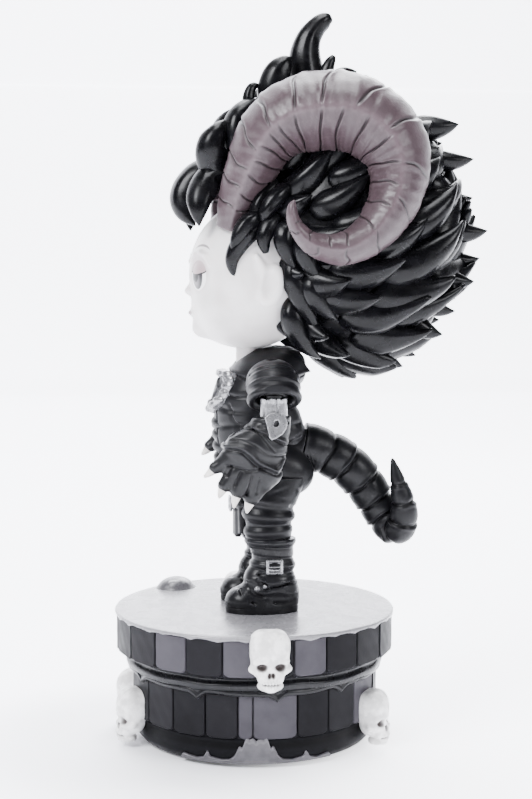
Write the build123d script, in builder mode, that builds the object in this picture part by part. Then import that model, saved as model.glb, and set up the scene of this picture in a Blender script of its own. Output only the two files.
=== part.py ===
"""Horned imp art toy in hollow vinyl: a big-haired chibi figure with a swivel head, arms and tail on a two-tier base.

Frame: +Z up, the figure faces -Y, its left hand is towards +X, and the origin is the centre of the base's underside.
Millimetres throughout.
"""

import os
from math import cos, radians, sin

from build123d import *

# Base ---------------------------------------------------------------------------------------------------------
FOOT_RADIUS = 32.9
LOWER_RADIUS = 35.2
WAIST_RADIUS = 36.9
UPPER_RADIUS = 39.7
BAND_RADIUS = 34.3  # black band between the foot and the lower staves
BAND_TOP = 7.4
LOWER_TOP = 19.0
WAIST_TOP = 25.4
DRUM_TOP = 35.1
TOP_Z = 36.3  # the surface that the boots stand on
WALL = 2.0
PLATE_THICKNESS = 1.8
UPPER_STAVES = 24
LOWER_STAVES = 22
STAVE_GROOVE = 0.3

# Skulls: (name, base angle, centre height, height in mm). Angle 0 is the figure's left, -90 its front.
SKULL_HEIGHT = 16.0
SKULLS = [
    ("skull_upper_left", 0, 32.0, 1.0),
    ("skull_upper_right", 180, 32.0, 1.0),
    ("skull_front_left", -75, 9.4, 1.12),
    ("skull_front_right", -105, 9.4, 1.12),
    ("skull_rear_left", 59, 9.4, 1.12),
    ("skull_rear_right", 121, 9.4, 1.12),
]

# Figure -------------------------------------------------------------------------------------------------------
LEG_X = 8.0
LEG_Y = 3.1
NECK_X, NECK_Y = 0.0, -1.5
NECK_RADIUS = 3.7
NECK_TOP = 110.7
PLUG_RADIUS = 2.4
FLANGE_Z = 114.0  # the plug's flange, just above the head's floor
RUNNING_GAP = 0.05
PART_GAP = 0.3
HEAD_CENTRE = (0, 0, 131.5)
HEAD_RADII = (20.5, 18.6, 20.7)
HEAD_WALL = 1.9
HAIR_CENTRE = (0, 27.5, 144.0)
HAIR_RADII = (30.5, 31.0, 35.5)
HAIR_WALL = 2.6
EGG_LATITUDES = (-78, -60, -42, -21, 0, 21, 42, 60, 78)
ARM_TILT = 30.0  # the arm's swivel axis leans out from straight down
ARM_BALL = (22.7, 3.0, 99.8)
ARM_BALL_RADIUS = 4.0
BRACER_X, BRACER_Y = 25.2, 2.7
TAIL_ROOT = (0, 13.6, 82.4)
TAIL_SLOPE = 15.0  # the tail's swivel axis slopes down from straight back
TAIL_ROOT_RADIUS = 6.9

pieces = {}


def egg(centre, radii, tilt=(0, 0, 0)):
    """Ellipsoid of the given half axes, its two poles flattened, turned by tilt and moved to centre."""
    half_x, half_y, half_z = radii
    with BuildPart(mode=Mode.PRIVATE) as solid:
        for latitude in EGG_LATITUDES:
            with BuildSketch(Plane.XY.offset(half_z * sin(radians(latitude)))):
                Ellipse(half_x * cos(radians(latitude)), half_y * cos(radians(latitude)))
        loft()
    return Pos(*centre) * Rot(*tilt) * solid.part


def turned(points, axis_plane=Plane.XZ):
    """Closed outline of (radius, height) points turned round Z."""
    with BuildPart(mode=Mode.PRIVATE) as solid:
        with BuildSketch(axis_plane):
            with BuildLine():
                Polyline(*points, close=True)
            make_face()
        revolve(axis=Axis.Z)
    return solid.part


def rod(start, direction, length, radius, end_radius=None):
    """Round rod, or cone, from start along direction."""
    with BuildPart(mode=Mode.PRIVATE) as solid:
        plane = Plane(origin=start, z_dir=direction)
        with BuildSketch(plane):
            Circle(radius)
        if end_radius is None:
            extrude(amount=length)
        else:
            with BuildSketch(plane.offset(length)):
                Circle(end_radius)
            loft()
    return solid.part


def tube_through(stations, run=4):
    """Smooth tapering body through (point, radius) stations, lofted in short runs so that it may curl right round."""
    points = [Vector(*point) for point, _ in stations]
    rings = []
    for index, (_, radius) in enumerate(stations):
        before = points[max(index - 1, 0)]
        after = points[min(index + 1, len(points) - 1)]
        along = (after - before).normalized()
        across = along.cross(Vector(1, 0, 0)).normalized()
        rings.append((Plane(origin=points[index], x_dir=across, z_dir=along), radius))
    with BuildPart(mode=Mode.PRIVATE) as tube:
        for first in range(0, len(rings) - 1, run - 1):
            with BuildPart(mode=Mode.PRIVATE) as stretch:
                for plane, radius in rings[first : first + run]:
                    with BuildSketch(plane):
                        Circle(radius)
                loft()
            add(stretch.part)
    return tube.part


def stack_of_ovals(sections):
    """Body through level ovals, each (height, centre x, centre y, half width in x, half depth in y)."""
    with BuildPart(mode=Mode.PRIVATE) as solid:
        for height, x, y, half_x, half_y in sections:
            with BuildSketch(Plane(origin=(x, y, height))):
                Ellipse(half_x, half_y)
        loft()
    return solid.part


def mirrored(part):
    """The same piece on the figure's other side."""
    return mirror(part, about=Plane.YZ)


def both_sides(name, left_part):
    """Stores a left piece and its mirrored right twin."""
    pieces[f"{name}_left"] = left_part
    pieces[f"{name}_right"] = mirrored(left_part)


def on_circle(radius, angle, height):
    """Point at a base angle and height."""
    return (radius * cos(radians(angle)), radius * sin(radians(angle)), height)


# Base shells --------------------------------------------------------------------------------------------------
PLATE_RADIUS = FOOT_RADIUS - 1.6
BOSS_RADIUS = 2.6
SCREW_RADIUS = 1.1
SCREW_HEAD_RADIUS = 2.2
SCREW_HEAD_HEIGHT = 1.2
PLATE_SCREW_CIRCLE = 22.0
BOSS_TOP = 17.0

with BuildPart() as bottom_plate:
    with BuildSketch():
        Circle(PLATE_RADIUS)
    extrude(amount=PLATE_THICKNESS)
    with Locations(Plane.XY.rotated((180, 0, 0))):
        with PolarLocations(PLATE_SCREW_CIRCLE, 4, 45):
            CounterBoreHole(SCREW_RADIUS, SCREW_HEAD_RADIUS, SCREW_HEAD_HEIGHT, PLATE_THICKNESS)
pieces["base_bottom_plate"] = bottom_plate.part

with BuildPart() as lower_drum:
    with BuildSketch(Plane.XZ):
        with BuildLine():
            Polyline(
                (PLATE_RADIUS, 0),
                (FOOT_RADIUS, 0),
                (BAND_RADIUS, 2.2),
                (BAND_RADIUS, BAND_TOP),
                (LOWER_RADIUS, BAND_TOP + 0.4),
                (LOWER_RADIUS, LOWER_TOP),
                (0, LOWER_TOP),
                (0, LOWER_TOP - WALL),
                (LOWER_RADIUS - WALL, LOWER_TOP - WALL),
                (BAND_RADIUS - WALL, 3.0),
                (PLATE_RADIUS, PLATE_THICKNESS),
                close=True,
            )
        make_face()
    revolve(axis=Axis.Z)
    with Locations((0, 0, (BAND_TOP + LOWER_TOP) / 2 + 1)):
        with PolarLocations(LOWER_RADIUS, LOWER_STAVES, 4):
            Box(2 * STAVE_GROOVE, STAVE_GROOVE, LOWER_TOP - BAND_TOP - 2, mode=Mode.SUBTRACT)
    with BuildSketch(Plane.XY.offset(PLATE_THICKNESS)):
        with PolarLocations(PLATE_SCREW_CIRCLE, 4, 45):
            Circle(BOSS_RADIUS)
    extrude(amount=BOSS_TOP - PLATE_THICKNESS)
    with BuildSketch(Plane.XY.offset(PLATE_THICKNESS)):
        with PolarLocations(PLATE_SCREW_CIRCLE, 4, 45):
            Circle(SCREW_RADIUS)
    extrude(amount=8.0, mode=Mode.SUBTRACT)
pieces["base_lower_drum"] = lower_drum.part

with BuildPart() as base_screws:
    with BuildSketch():
        with PolarLocations(PLATE_SCREW_CIRCLE, 4, 45):
            Circle(SCREW_HEAD_RADIUS)
    extrude(amount=SCREW_HEAD_HEIGHT)
    with BuildSketch(Plane.XY.offset(SCREW_HEAD_HEIGHT)):
        with PolarLocations(PLATE_SCREW_CIRCLE, 4, 45):
            Circle(SCREW_RADIUS)
    extrude(amount=7.5)
    with BuildSketch():
        with PolarLocations(PLATE_SCREW_CIRCLE, 4, 45):
            Rectangle(2.6, 0.6)
            Rectangle(0.6, 2.6)
    extrude(amount=0.6, mode=Mode.SUBTRACT)
pieces["base_screws"] = base_screws.part

pieces["base_waist"] = turned(
    [
        (30.0, LOWER_TOP),
        (LOWER_RADIUS + 0.4, LOWER_TOP),
        (WAIST_RADIUS, LOWER_TOP + 1.3),
        (WAIST_RADIUS, WAIST_TOP - 0.9),
        (WAIST_RADIUS - 0.7, WAIST_TOP),
        (30.0, WAIST_TOP),
    ]
)

with BuildPart() as upper_drum:
    with BuildSketch(Plane.XZ):
        with BuildLine():
            Polyline(
                (33.0, WAIST_TOP),
                (UPPER_RADIUS - 0.8, WAIST_TOP),
                (UPPER_RADIUS, WAIST_TOP + 0.8),
                (UPPER_RADIUS, DRUM_TOP),
                (0, DRUM_TOP),
                (0, DRUM_TOP - WALL),
                (UPPER_RADIUS - WALL, DRUM_TOP - WALL),
                (UPPER_RADIUS - WALL, WAIST_TOP + WALL),
                (33.0, WAIST_TOP + WALL),
                close=True,
            )
        make_face()
    revolve(axis=Axis.Z)
    with Locations((0, 0, (WAIST_TOP + DRUM_TOP) / 2)):
        with PolarLocations(UPPER_RADIUS, UPPER_STAVES, -3):
            Box(2 * STAVE_GROOVE, STAVE_GROOVE, DRUM_TOP - WAIST_TOP, mode=Mode.SUBTRACT)
    with BuildSketch(Plane.XY.offset(DRUM_TOP - WALL)):
        with Locations((LEG_X, LEG_Y), (-LEG_X, LEG_Y)):
            Circle(SCREW_RADIUS)
    extrude(amount=WALL, mode=Mode.SUBTRACT)
pieces["base_upper_drum"] = upper_drum.part

with BuildPart() as top_cap:
    with BuildSketch(Plane.XY.offset(DRUM_TOP)):
        Circle(UPPER_RADIUS + 0.1)
        with Locations((LEG_X, LEG_Y), (-LEG_X, LEG_Y)):
            Circle(SCREW_RADIUS, mode=Mode.SUBTRACT)
    extrude(amount=TOP_Z - DRUM_TOP)
    fillet(top_cap.edges().filter_by(GeomType.CIRCLE).group_by(SortBy.RADIUS)[-1].sort_by(Axis.Z)[-1], 0.6)
pieces["base_top_cap"] = top_cap.part

BOOT_SCREW_DEPTH = 5.0
with BuildPart() as boot_screws:
    with BuildSketch(Plane.XY.offset(DRUM_TOP - WALL - SCREW_HEAD_HEIGHT)):
        with Locations((LEG_X, LEG_Y), (-LEG_X, LEG_Y)):
            Circle(SCREW_HEAD_RADIUS)
    extrude(amount=SCREW_HEAD_HEIGHT)
    with BuildSketch(Plane.XY.offset(DRUM_TOP - WALL)):
        with Locations((LEG_X, LEG_Y), (-LEG_X, LEG_Y)):
            Circle(SCREW_RADIUS)
    extrude(amount=TOP_Z + BOOT_SCREW_DEPTH - DRUM_TOP + WALL)
pieces["boot_screws"] = boot_screws.part

# Everything the skulls and trims are glued against, as one plain turned envelope.
drum_envelope = turned(
    [
        (0, 0),
        (FOOT_RADIUS, 0),
        (BAND_RADIUS, 2.2),
        (BAND_RADIUS, BAND_TOP),
        (LOWER_RADIUS, BAND_TOP + 0.4),
        (LOWER_RADIUS, LOWER_TOP),
        (LOWER_RADIUS + 0.4, LOWER_TOP),
        (WAIST_RADIUS, LOWER_TOP + 1.3),
        (WAIST_RADIUS, WAIST_TOP - 0.9),
        (WAIST_RADIUS - 0.7, WAIST_TOP),
        (UPPER_RADIUS - 0.8, WAIST_TOP),
        (UPPER_RADIUS, WAIST_TOP + 0.8),
        (UPPER_RADIUS, DRUM_TOP),
        (UPPER_RADIUS + 0.1, DRUM_TOP),
        (UPPER_RADIUS + 0.1, TOP_Z),
        (0, TOP_Z),
    ]
)


# Skulls -------------------------------------------------------------------------------------------------------
def skull():
    """Small skull facing +Y, its back near y = 0 and its height centred on z = 0."""
    lumps = [
        egg((0, 0.2, 2.5), (5.7, 4.4, 5.6)),
        egg((0, 0.5, -1.7), (5.0, 3.5, 3.4)),
        egg((0, 0.6, -5.0), (3.2, 3.2, 3.1)),
    ]
    sockets = [egg((side * 2.3, 4.2, -0.8), (1.5, 1.5, 1.1)) for side in (-1, 1)]
    nose = egg((0, 4.4, -2.9), (0.7, 1.2, 1.0))
    with BuildPart(mode=Mode.PRIVATE) as solid:
        add(lumps)
        add([*sockets, nose], mode=Mode.SUBTRACT)
    return solid.part


SKULL_SHAPE = skull()
for name, angle, height, size in SKULLS:
    ring_radius = UPPER_RADIUS if height > LOWER_TOP else LOWER_RADIUS
    placed = Pos(*on_circle(ring_radius - 0.4, angle, height)) * Rot(0, 0, angle - 90) * SKULL_SHAPE.scale(size)
    pieces[name] = placed - drum_envelope

# Grey scalloped trims low on the base's two sides, and the dome on the base's far front edge.
TRIM_ANGLE = -5
TRIM_WIDTH = 52.0
trim_ring = turned(
    [
        (FOOT_RADIUS, 0),
        (FOOT_RADIUS + 1.0, 0),
        (BAND_RADIUS + 0.7, 2.2),
        (BAND_RADIUS + 0.7, BAND_TOP + 1.6),
        (BAND_RADIUS, BAND_TOP + 1.6),
        (BAND_RADIUS, 2.2),
    ]
)
with BuildPart() as trim_outline:
    with BuildSketch(Plane.YZ):
        with BuildLine():
            Polyline(
                (-TRIM_WIDTH / 2, 0),
                (TRIM_WIDTH / 2, 0),
                (TRIM_WIDTH / 2, 1.2),
                (TRIM_WIDTH / 4, 3.2),
                (5.0, 2.6),
                (0, BAND_TOP + 1.0),
                (-5.0, 2.6),
                (-TRIM_WIDTH / 4, 3.2),
                (-TRIM_WIDTH / 2, 1.2),
                close=True,
            )
        make_face()
    extrude(amount=60)
trim_shape = Rot(0, 0, TRIM_ANGLE) * trim_outline.part
foot_trim = (trim_ring & trim_shape) - drum_envelope
both_sides("foot_trim", foot_trim)

DOME_ANGLE = -142
dome_shape = egg(on_circle(34.5, DOME_ANGLE, TOP_Z), (5.2, 6.2, 3.5), (0, 0, DOME_ANGLE))
dome_floor = rod((0, 0, 0), (0, 0, 1), TOP_Z, 60)
pieces["base_dome"] = dome_shape - dome_floor

# Boots and legs -----------------------------------------------------------------------------------------------
boot_foot = stack_of_ovals(
    [
        (TOP_Z, LEG_X, 1.9, 5.6, 10.2),
        (38.6, LEG_X, 1.9, 5.8, 10.3),
        (41.5, LEG_X, 2.5, 5.4, 9.2),
        (45.0, LEG_X, 3.9, 5.0, 7.0),
    ]
)
boot_shaft = stack_of_ovals(
    [
        (43.0, LEG_X, 4.2, 5.0, 6.6),
        (48.0, LEG_X, 4.9, 5.1, 5.8),
        (53.0, LEG_X, 4.4, 5.4, 6.2),
        (57.3, LEG_X, 3.8, 6.3, 7.2),
    ]
)
leg_body = stack_of_ovals(
    [
        (55.0, LEG_X, LEG_Y, 5.2, 6.2),
        (58.0, LEG_X, LEG_Y, 6.0, 7.1),
        (61.0, LEG_X, LEG_Y, 5.6, 6.6),
        (64.5, LEG_X, LEG_Y, 6.2, 7.2),
        (69.5, LEG_X, 4.0, 6.6, 8.0),
        (74.0, LEG_X - 1.6, 5.0, 6.4, 9.0),
    ]
)
boot_bore = rod((LEG_X, LEG_Y, TOP_Z), (0, 0, 1), BOOT_SCREW_DEPTH, SCREW_RADIUS)
# The two thighs are parted at the figure's middle plane.
right_half = Pos(-30, 0, 60) * Box(60, 80, 60)
leg_left = leg_body - right_half
hips_shape = egg((0, 5.6, 77.2), (11.6, 11.4, 8.7))
torso_shape = stack_of_ovals(
    [
        (78.5, 0, -0.8, 9.4, 9.9),
        (85.5, 0, -0.6, 10.2, 11.3),
        (92.5, 0, -0.9, 11.6, 11.0),
        (99.0, 0, 0.4, 12.8, 10.9),
        (104.5, 0, 2.6, 11.6, 9.7),
        (108.6, 0, 4.4, 8.4, 7.6),
        (110.9, 0, 5.8, 4.6, 4.4),
    ]
)
boot = boot_foot + boot_shaft - boot_bore - leg_left
both_sides("boot", boot)

BUCKLE_Z = 49.6
with BuildPart() as ankle_buckle:
    with BuildSketch(Plane(origin=(LEG_X + 4.4, 4.4, BUCKLE_Z), x_dir=(0, 1, 0), z_dir=(1, 0, 0))):
        RectangleRounded(4.8, 4.2, 0.5)
        Rectangle(3.2, 2.6, mode=Mode.SUBTRACT)
    extrude(amount=1.5)
both_sides("ankle_buckle", ankle_buckle.part - boot)

STUDS = [(12.1, -0.6, 43.4), (12.6, 1.2, 43.8)]
studs_left = [Pos(*place) * Sphere(0.75) for place in STUDS]
with BuildPart() as boot_studs:
    add(studs_left)
    add([mirrored(stud) for stud in studs_left])
    add([boot, mirrored(boot)], mode=Mode.SUBTRACT)
pieces["boot_studs"] = boot_studs.part

# Tail swivel --------------------------------------------------------------------------------------------------
tail_axis = Vector(0, cos(radians(TAIL_SLOPE)), -sin(radians(TAIL_SLOPE)))
tail_root = Vector(*TAIL_ROOT)
TAIL_PEG_RADIUS = 2.6
TAIL_PEG_LENGTH = 7.0
tail_socket = rod(tail_root - tail_axis * 12, tail_axis, 12 - PART_GAP / 2, TAIL_ROOT_RADIUS)
tail_clearance = rod(tail_root - tail_axis * (PART_GAP / 2), tail_axis, 30, TAIL_ROOT_RADIUS + 0.5)
tail_bore = rod(tail_root - tail_axis * TAIL_PEG_LENGTH, tail_axis, 20, TAIL_PEG_RADIUS + RUNNING_GAP)

hips = hips_shape - leg_left - mirrored(leg_left) - torso_shape - tail_clearance - tail_bore
both_sides("leg", leg_left)
pieces["hips"] = hips

tail_stations = [
    (tail_root + tail_axis * (PART_GAP / 2), TAIL_ROOT_RADIUS),
    (tail_root + tail_axis * 3.5, 6.6),
    (Vector(0, 21.6, 80.6), 6.1),
    (Vector(0, 27.0, 77.0), 5.8),
    (Vector(0, 31.6, 71.9), 5.6),
    (Vector(0.4, 35.2, 66.2), 5.2),
    (Vector(1.6, 38.0, 60.4), 4.6),
]
tail_tip_stations = [
    (Vector(5.6, 41.4, 58.0), 4.2),
    (Vector(7.0, 42.2, 62.0), 3.9),
    (Vector(7.8, 41.9, 66.4), 3.3),
    (Vector(8.0, 40.8, 71.0), 2.5),
    (Vector(8.0, 39.6, 75.4), 1.5),
    (Vector(8.0, 38.6, 79.2), 0.4),
]
TAIL_BEND = [((1.8, 38.4, 59.6), (4.8, 4.8, 4.9)), ((5.0, 41.0, 58.4), (4.6, 4.6, 4.7))]
with BuildPart() as tail_body:
    for stations in (tail_stations, tail_tip_stations):
        add(tube_through([(tuple(point), radius) for point, radius in stations]))
    add([egg(centre, radii) for centre, radii in TAIL_BEND])
tail_peg = rod(tail_root - tail_axis * (TAIL_PEG_LENGTH - 0.5), tail_axis, TAIL_PEG_LENGTH + 1.5, TAIL_PEG_RADIUS)
pieces["tail"] = tail_body.part - tail_peg
pieces["tail_peg"] = tail_peg

# Torso --------------------------------------------------------------------------------------------------------
neck_core = rod((NECK_X, NECK_Y, 100.0), (0, 0, 1), NECK_TOP - 100.0, NECK_RADIUS)
plug_shank = rod((NECK_X, NECK_Y, 94.0), (0, 0, 1), FLANGE_Z - 94.0, PLUG_RADIUS)
plug_flange = rod((NECK_X, NECK_Y, FLANGE_Z), (0, 0, 1), 1.6, 3.4)
torso = torso_shape - neck_core - plug_shank - tail_clearance - tail_bore
pieces["neck"] = neck_core - plug_shank
pieces["neck_plug"] = plug_shank + plug_flange

# Shoulders and arms -------------------------------------------------------------------------------------------
arm_axis = Vector(sin(radians(ARM_TILT)), 0, -cos(radians(ARM_TILT)))
ball = Vector(*ARM_BALL)
ARM_PEG_RADIUS = 1.5
ARM_PEG_LENGTH = 8.5
bell_cavity = rod(ball - arm_axis * 1.0, arm_axis, 12, ARM_BALL_RADIUS + 0.5, ARM_BALL_RADIUS + 2.2)
ball_cavity = Pos(*ball) * Sphere(ARM_BALL_RADIUS + 0.4)
peg_bore = rod(ball - arm_axis * (ARM_PEG_LENGTH + 0.5), arm_axis, 12, ARM_PEG_RADIUS + RUNNING_GAP)
shoulder_shape = egg((18.2, 3.5, 101.2), (8.2, 7.9, 6.6), (0, 12, 0))
shoulder = shoulder_shape - torso_shape - bell_cavity - ball_cavity - peg_bore
pieces["torso"] = torso - peg_bore - mirrored(peg_bore)
both_sides("shoulder", shoulder)

arm_core = rod((BRACER_X, BRACER_Y, 90.0), (0, 0, 1), 9.0, 2.6)
arm_ball = Pos(*ball) * Sphere(ARM_BALL_RADIUS)
arm_peg = rod(ball - arm_axis * ARM_PEG_LENGTH, arm_axis, ARM_PEG_LENGTH - 2.0, ARM_PEG_RADIUS)
arm = arm_ball + arm_core - arm_peg
both_sides("arm", arm)
both_sides("arm_peg", arm_peg)

bracer_tube = rod((BRACER_X, BRACER_Y, 92.0), (0, 0, 1), 6.2, 3.7)
bracer = bracer_tube - arm
both_sides("bracer", bracer)

with BuildPart() as cuff_blank:
    with BuildSketch(Plane(origin=(28.4, 3.0, 91.8), x_dir=(0, 1, 0), z_dir=(1, 0, 0.12))):
        with BuildLine():
            Polyline((-2.6, 3.0), (1.4, 3.6), (2.7, 1.6), (2.3, -1.8), (-0.6, -3.7), (-1.6, -3.0), close=True)
        make_face()
        Circle(0.7, mode=Mode.SUBTRACT)
    extrude(amount=2.2)
cuff_plate = cuff_blank.part - bracer - arm
both_sides("cuff_plate", cuff_plate)

palm = stack_of_ovals(
    [
        (94.0, 25.2, 2.7, 4.0, 4.2),
        (90.5, 25.4, 1.6, 4.6, 5.4),
        (86.0, 25.6, -0.6, 5.0, 7.0),
        (81.5, 25.8, -3.0, 5.1, 8.2),
        (77.5, 26.0, -4.4, 4.4, 6.4),
        (75.5, 26.0, -4.6, 3.0, 3.8),
    ]
)
CLAWS = [
    # finger centre, finger tilt, claw base, claw tip
    ((25.4, -10.2, 80.6), -50, (25.4, -12.4, 79.4), (25.4, -16.0, 77.2)),
    ((26.4, -8.0, 76.4), -35, (26.6, -9.8, 74.6), (26.8, -12.2, 71.4)),
    ((26.8, -4.4, 74.6), -25, (27.0, -5.6, 72.6), (27.2, -7.4, 69.0)),
    ((26.2, -0.6, 74.2), -20, (26.2, -2.0, 71.8), (26.2, -4.4, 67.8)),
]
glove = palm
for centre, tilt, _, _ in CLAWS:
    glove = glove + egg(centre, (2.5, 2.9, 3.5), (tilt, 0, 0))
glove = glove - arm - bracer - cuff_plate
both_sides("glove", glove)

claw_cones = []
for _, _, base, tip in CLAWS:
    reach = Vector(*tip) - Vector(*base)
    claw_cones.append(rod(Vector(*base) - reach * 0.3, reach.normalized(), reach.length * 1.3, 1.9, 0.3))
with BuildPart() as claws:
    add(claw_cones)
    add(glove, mode=Mode.SUBTRACT)
both_sides("claws", claws.part)

# Chest plaque, belly guard, front flap ------------------------------------------------------------------------
PLAQUE_LEAN = 17.0
PLAQUE_OUTLINE = [
    (0, -7.2), (5.6, -3.8), (7.0, 1.0), (5.6, 5.2), (-5.6, 5.2), (-7.0, 1.0), (-5.6, -3.8)
]  # fmt: skip
plaque_facing = (0, -cos(radians(PLAQUE_LEAN)), sin(radians(PLAQUE_LEAN)))
plaque_plane = Plane(origin=(0, -8.4, 98.4), x_dir=(1, 0, 0), z_dir=plaque_facing)
with BuildPart() as plaque_frame:
    with BuildSketch(plaque_plane):
        with BuildLine():
            Polyline(*PLAQUE_OUTLINE, close=True)
        make_face()
        with BuildLine():
            Polyline(*[(x * 0.72, y * 0.72) for x, y in PLAQUE_OUTLINE], close=True)
        make_face(mode=Mode.SUBTRACT)
    extrude(amount=3.9)
with BuildPart() as plaque_inset:
    with BuildSketch(plaque_plane):
        with BuildLine():
            Polyline(*[(x * 0.72, y * 0.72) for x, y in PLAQUE_OUTLINE], close=True)
        make_face()
    extrude(amount=3.1)
pieces["chest_plaque_frame"] = plaque_frame.part - torso_shape
pieces["chest_plaque_inset"] = plaque_inset.part - torso_shape

guard_shape = egg((0, -8.6, 84.4), (5.2, 3.9, 7.3)) - plaque_frame.part - plaque_inset.part
pieces["belly_guard"] = guard_shape - torso_shape - hips_shape

FLAP_Y = -5.4
FLAP_THICKNESS = 1.6
with BuildPart() as front_flap:
    with BuildSketch(Plane(origin=(0, FLAP_Y, 0), x_dir=(1, 0, 0), z_dir=(0, -1, 0))):
        with BuildLine():
            Polyline((-3.0, 72.5), (3.0, 72.5), (4.2, 58.6), (0, 56.4), (-4.2, 58.6), close=True)
        make_face()
    extrude(amount=FLAP_THICKNESS)
flap_shape = front_flap.part
pieces["front_flap"] = flap_shape - hips_shape - leg_left - mirrored(leg_left)
with BuildPart() as flap_ring:
    with BuildSketch(Plane(origin=(0, FLAP_Y - FLAP_THICKNESS, 66.0), x_dir=(1, 0, 0), z_dir=(0, -1, 0))):
        RectangleRounded(4.4, 5.0, 0.6)
        Rectangle(2.8, 3.2, mode=Mode.SUBTRACT)
    extrude(amount=0.9)
pieces["flap_buckle"] = flap_ring.part

# Head ---------------------------------------------------------------------------------------------------------
head_outer = egg(HEAD_CENTRE, HEAD_RADII)
head_inner = egg(HEAD_CENTRE, [radius - HEAD_WALL for radius in HEAD_RADII])
nose = egg((0, -18.2, 127.4), (1.5, 1.9, 1.3))
ears = [egg((side * 19.8, 2.6, 128.6), (1.9, 3.4, 5.6), (10, 0, 0)) for side in (-1, 1)]
neck_hole = rod((NECK_X, NECK_Y, 108.0), (0, 0, 1), 8.0, PLUG_RADIUS + RUNNING_GAP)
with BuildPart() as head_shell:
    add([head_outer, nose, *ears])
    add([head_inner, neck_hole], mode=Mode.SUBTRACT)
pieces["head_shell"] = head_shell.part

# Horns: one open spiral each, from the temple up, back and forward again beside the head.
HORN_STATIONS = [
    # (x, y, z), tube radius
    ((12.0, -7.0, 147.0), 4.3),
    ((14.6, -4.8, 155.0), 5.8),
    ((17.4, -0.4, 164.2), 7.4),
    ((20.2, 6.3, 171.4), 9.0),
    ((22.9, 17.2, 174.6), 10.0),
    ((25.7, 28.0, 171.4), 9.5),
    ((28.0, 34.6, 164.2), 8.6),
    ((29.8, 35.4, 155.4), 7.2),
    ((31.7, 31.3, 146.3), 5.9),
    ((33.7, 22.4, 139.4), 4.5),
    ((34.9, 13.6, 138.8), 3.3),
    ((36.0, 7.4, 143.4), 2.0),
    ((36.5, 6.6, 150.0), 0.8),
]
horn_shape = tube_through(HORN_STATIONS)
horns = [horn_shape, mirrored(horn_shape)]
both_sides("horn", horn_shape - head_outer)


# Hair ---------------------------------------------------------------------------------------------------------
def teardrop(width, length):
    """Round-bottomed lock of hair running to a point along +Z, its widest ring at z = 0."""
    with BuildPart(mode=Mode.PRIVATE) as solid:
        for height, radius in (
            (-0.8 * width, 0.55 * width),
            (0, width),
            (0.4 * length, 0.82 * width),
            (0.75 * length, 0.42 * width),
            (length, 0.3),
        ):
            with BuildSketch(Plane.XY.offset(height)):
                Circle(radius)
        loft()
    return solid.part


def lock(seat, flow, width, length):
    """Teardrop of hair at seat, pointing along flow."""
    return Plane(origin=seat, z_dir=flow).location * teardrop(width, length)


LOCK_WIDTH = 5.6
LOCK_LENGTH = 15.0
LOCK_SEAT = 0.86  # share of the hair's radius at which a lock is rooted
LOCK_ROWS = [
    # (height above the level in degrees, bearings from straight back in degrees)
    (66, [-60, 0, 60]),
    (40, [-62, -22, 22, 62]),
    (15, [-56, -19, 19, 56]),
    (-10, [-72, -38, 0, 38, 72]),
    (-36, [-52, -18, 18, 52]),
    (-62, [-40, 20]),
]
COLLAR_ROOM = 15.4
SHOULDER_ROOM = 25.0
locks = []
for lift, bearings in LOCK_ROWS:
    for bearing in bearings:
        level = cos(radians(lift))
        outward = Vector(level * sin(radians(bearing)), level * cos(radians(bearing)), sin(radians(lift)))
        reach = Vector(outward.X * HAIR_RADII[0], outward.Y * HAIR_RADII[1], outward.Z * HAIR_RADII[2])
        flow = outward + Vector(0, 0.55, 0)
        locks.append(lock(Vector(*HAIR_CENTRE) + reach * LOCK_SEAT, flow, LOCK_WIDTH, LOCK_LENGTH))
hair_outer = egg(HAIR_CENTRE, HAIR_RADII)
hair_inner = egg(HAIR_CENTRE, [radius - HAIR_WALL for radius in HAIR_RADII])
collar_room = rod((NECK_X, NECK_Y, 95.0), (0, 0, 1), 19.4, COLLAR_ROOM)
shoulder_room = rod((NECK_X, NECK_Y, 90.0), (0, 0, 1), 18.4, SHOULDER_ROOM)
with BuildPart() as hair_back:
    add(hair_outer)
    add(locks)
    add([hair_inner, head_outer, *ears], mode=Mode.SUBTRACT)
    add([collar_room, shoulder_room], mode=Mode.SUBTRACT)
    add(horns, mode=Mode.SUBTRACT)
pieces["hair_back"] = hair_back.part

fringe_locks = [
    lock((0, -11.0, 153.0), (0, -1.0, 0.25), 7.0, 10.5),
    lock((6.4, -8.6, 153.6), (0.45, -1.0, 0.5), 6.2, 9.5),
    lock((-6.4, -8.6, 153.6), (-0.45, -1.0, 0.5), 6.2, 9.5),
    lock((0, -5.4, 162.4), (0, -1.0, 0.7), 6.8, 9.6),
]
with BuildPart() as hair_fringe:
    add(fringe_locks)
    add([head_outer, hair_back.part, hair_inner, *horns], mode=Mode.SUBTRACT)
pieces["hair_fringe"] = hair_fringe.part

crest_curl = tube_through(
    [
        ((0, 9.0, 172.0), 6.6),
        ((0, 9.0, 180.0), 6.9),
        ((0, 10.6, 188.0), 5.6),
        ((0, 14.0, 195.6), 4.0),
        ((0, 18.0, 200.6), 2.4),
        ((0, 21.0, 202.6), 1.0),
    ]
)
crest_locks = [
    lock((0, 0.4, 172.0), (0, -0.35, 1.0), 6.8, 12.0),
    lock((0, 15.6, 180.0), (0, 0.45, 1.0), 5.6, 13.0),
]
with BuildPart() as hair_crest:
    add([crest_curl, *crest_locks])
    add([hair_back.part, hair_inner, hair_fringe.part, head_outer, *horns], mode=Mode.SUBTRACT)
pieces["hair_crest"] = hair_crest.part

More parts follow.
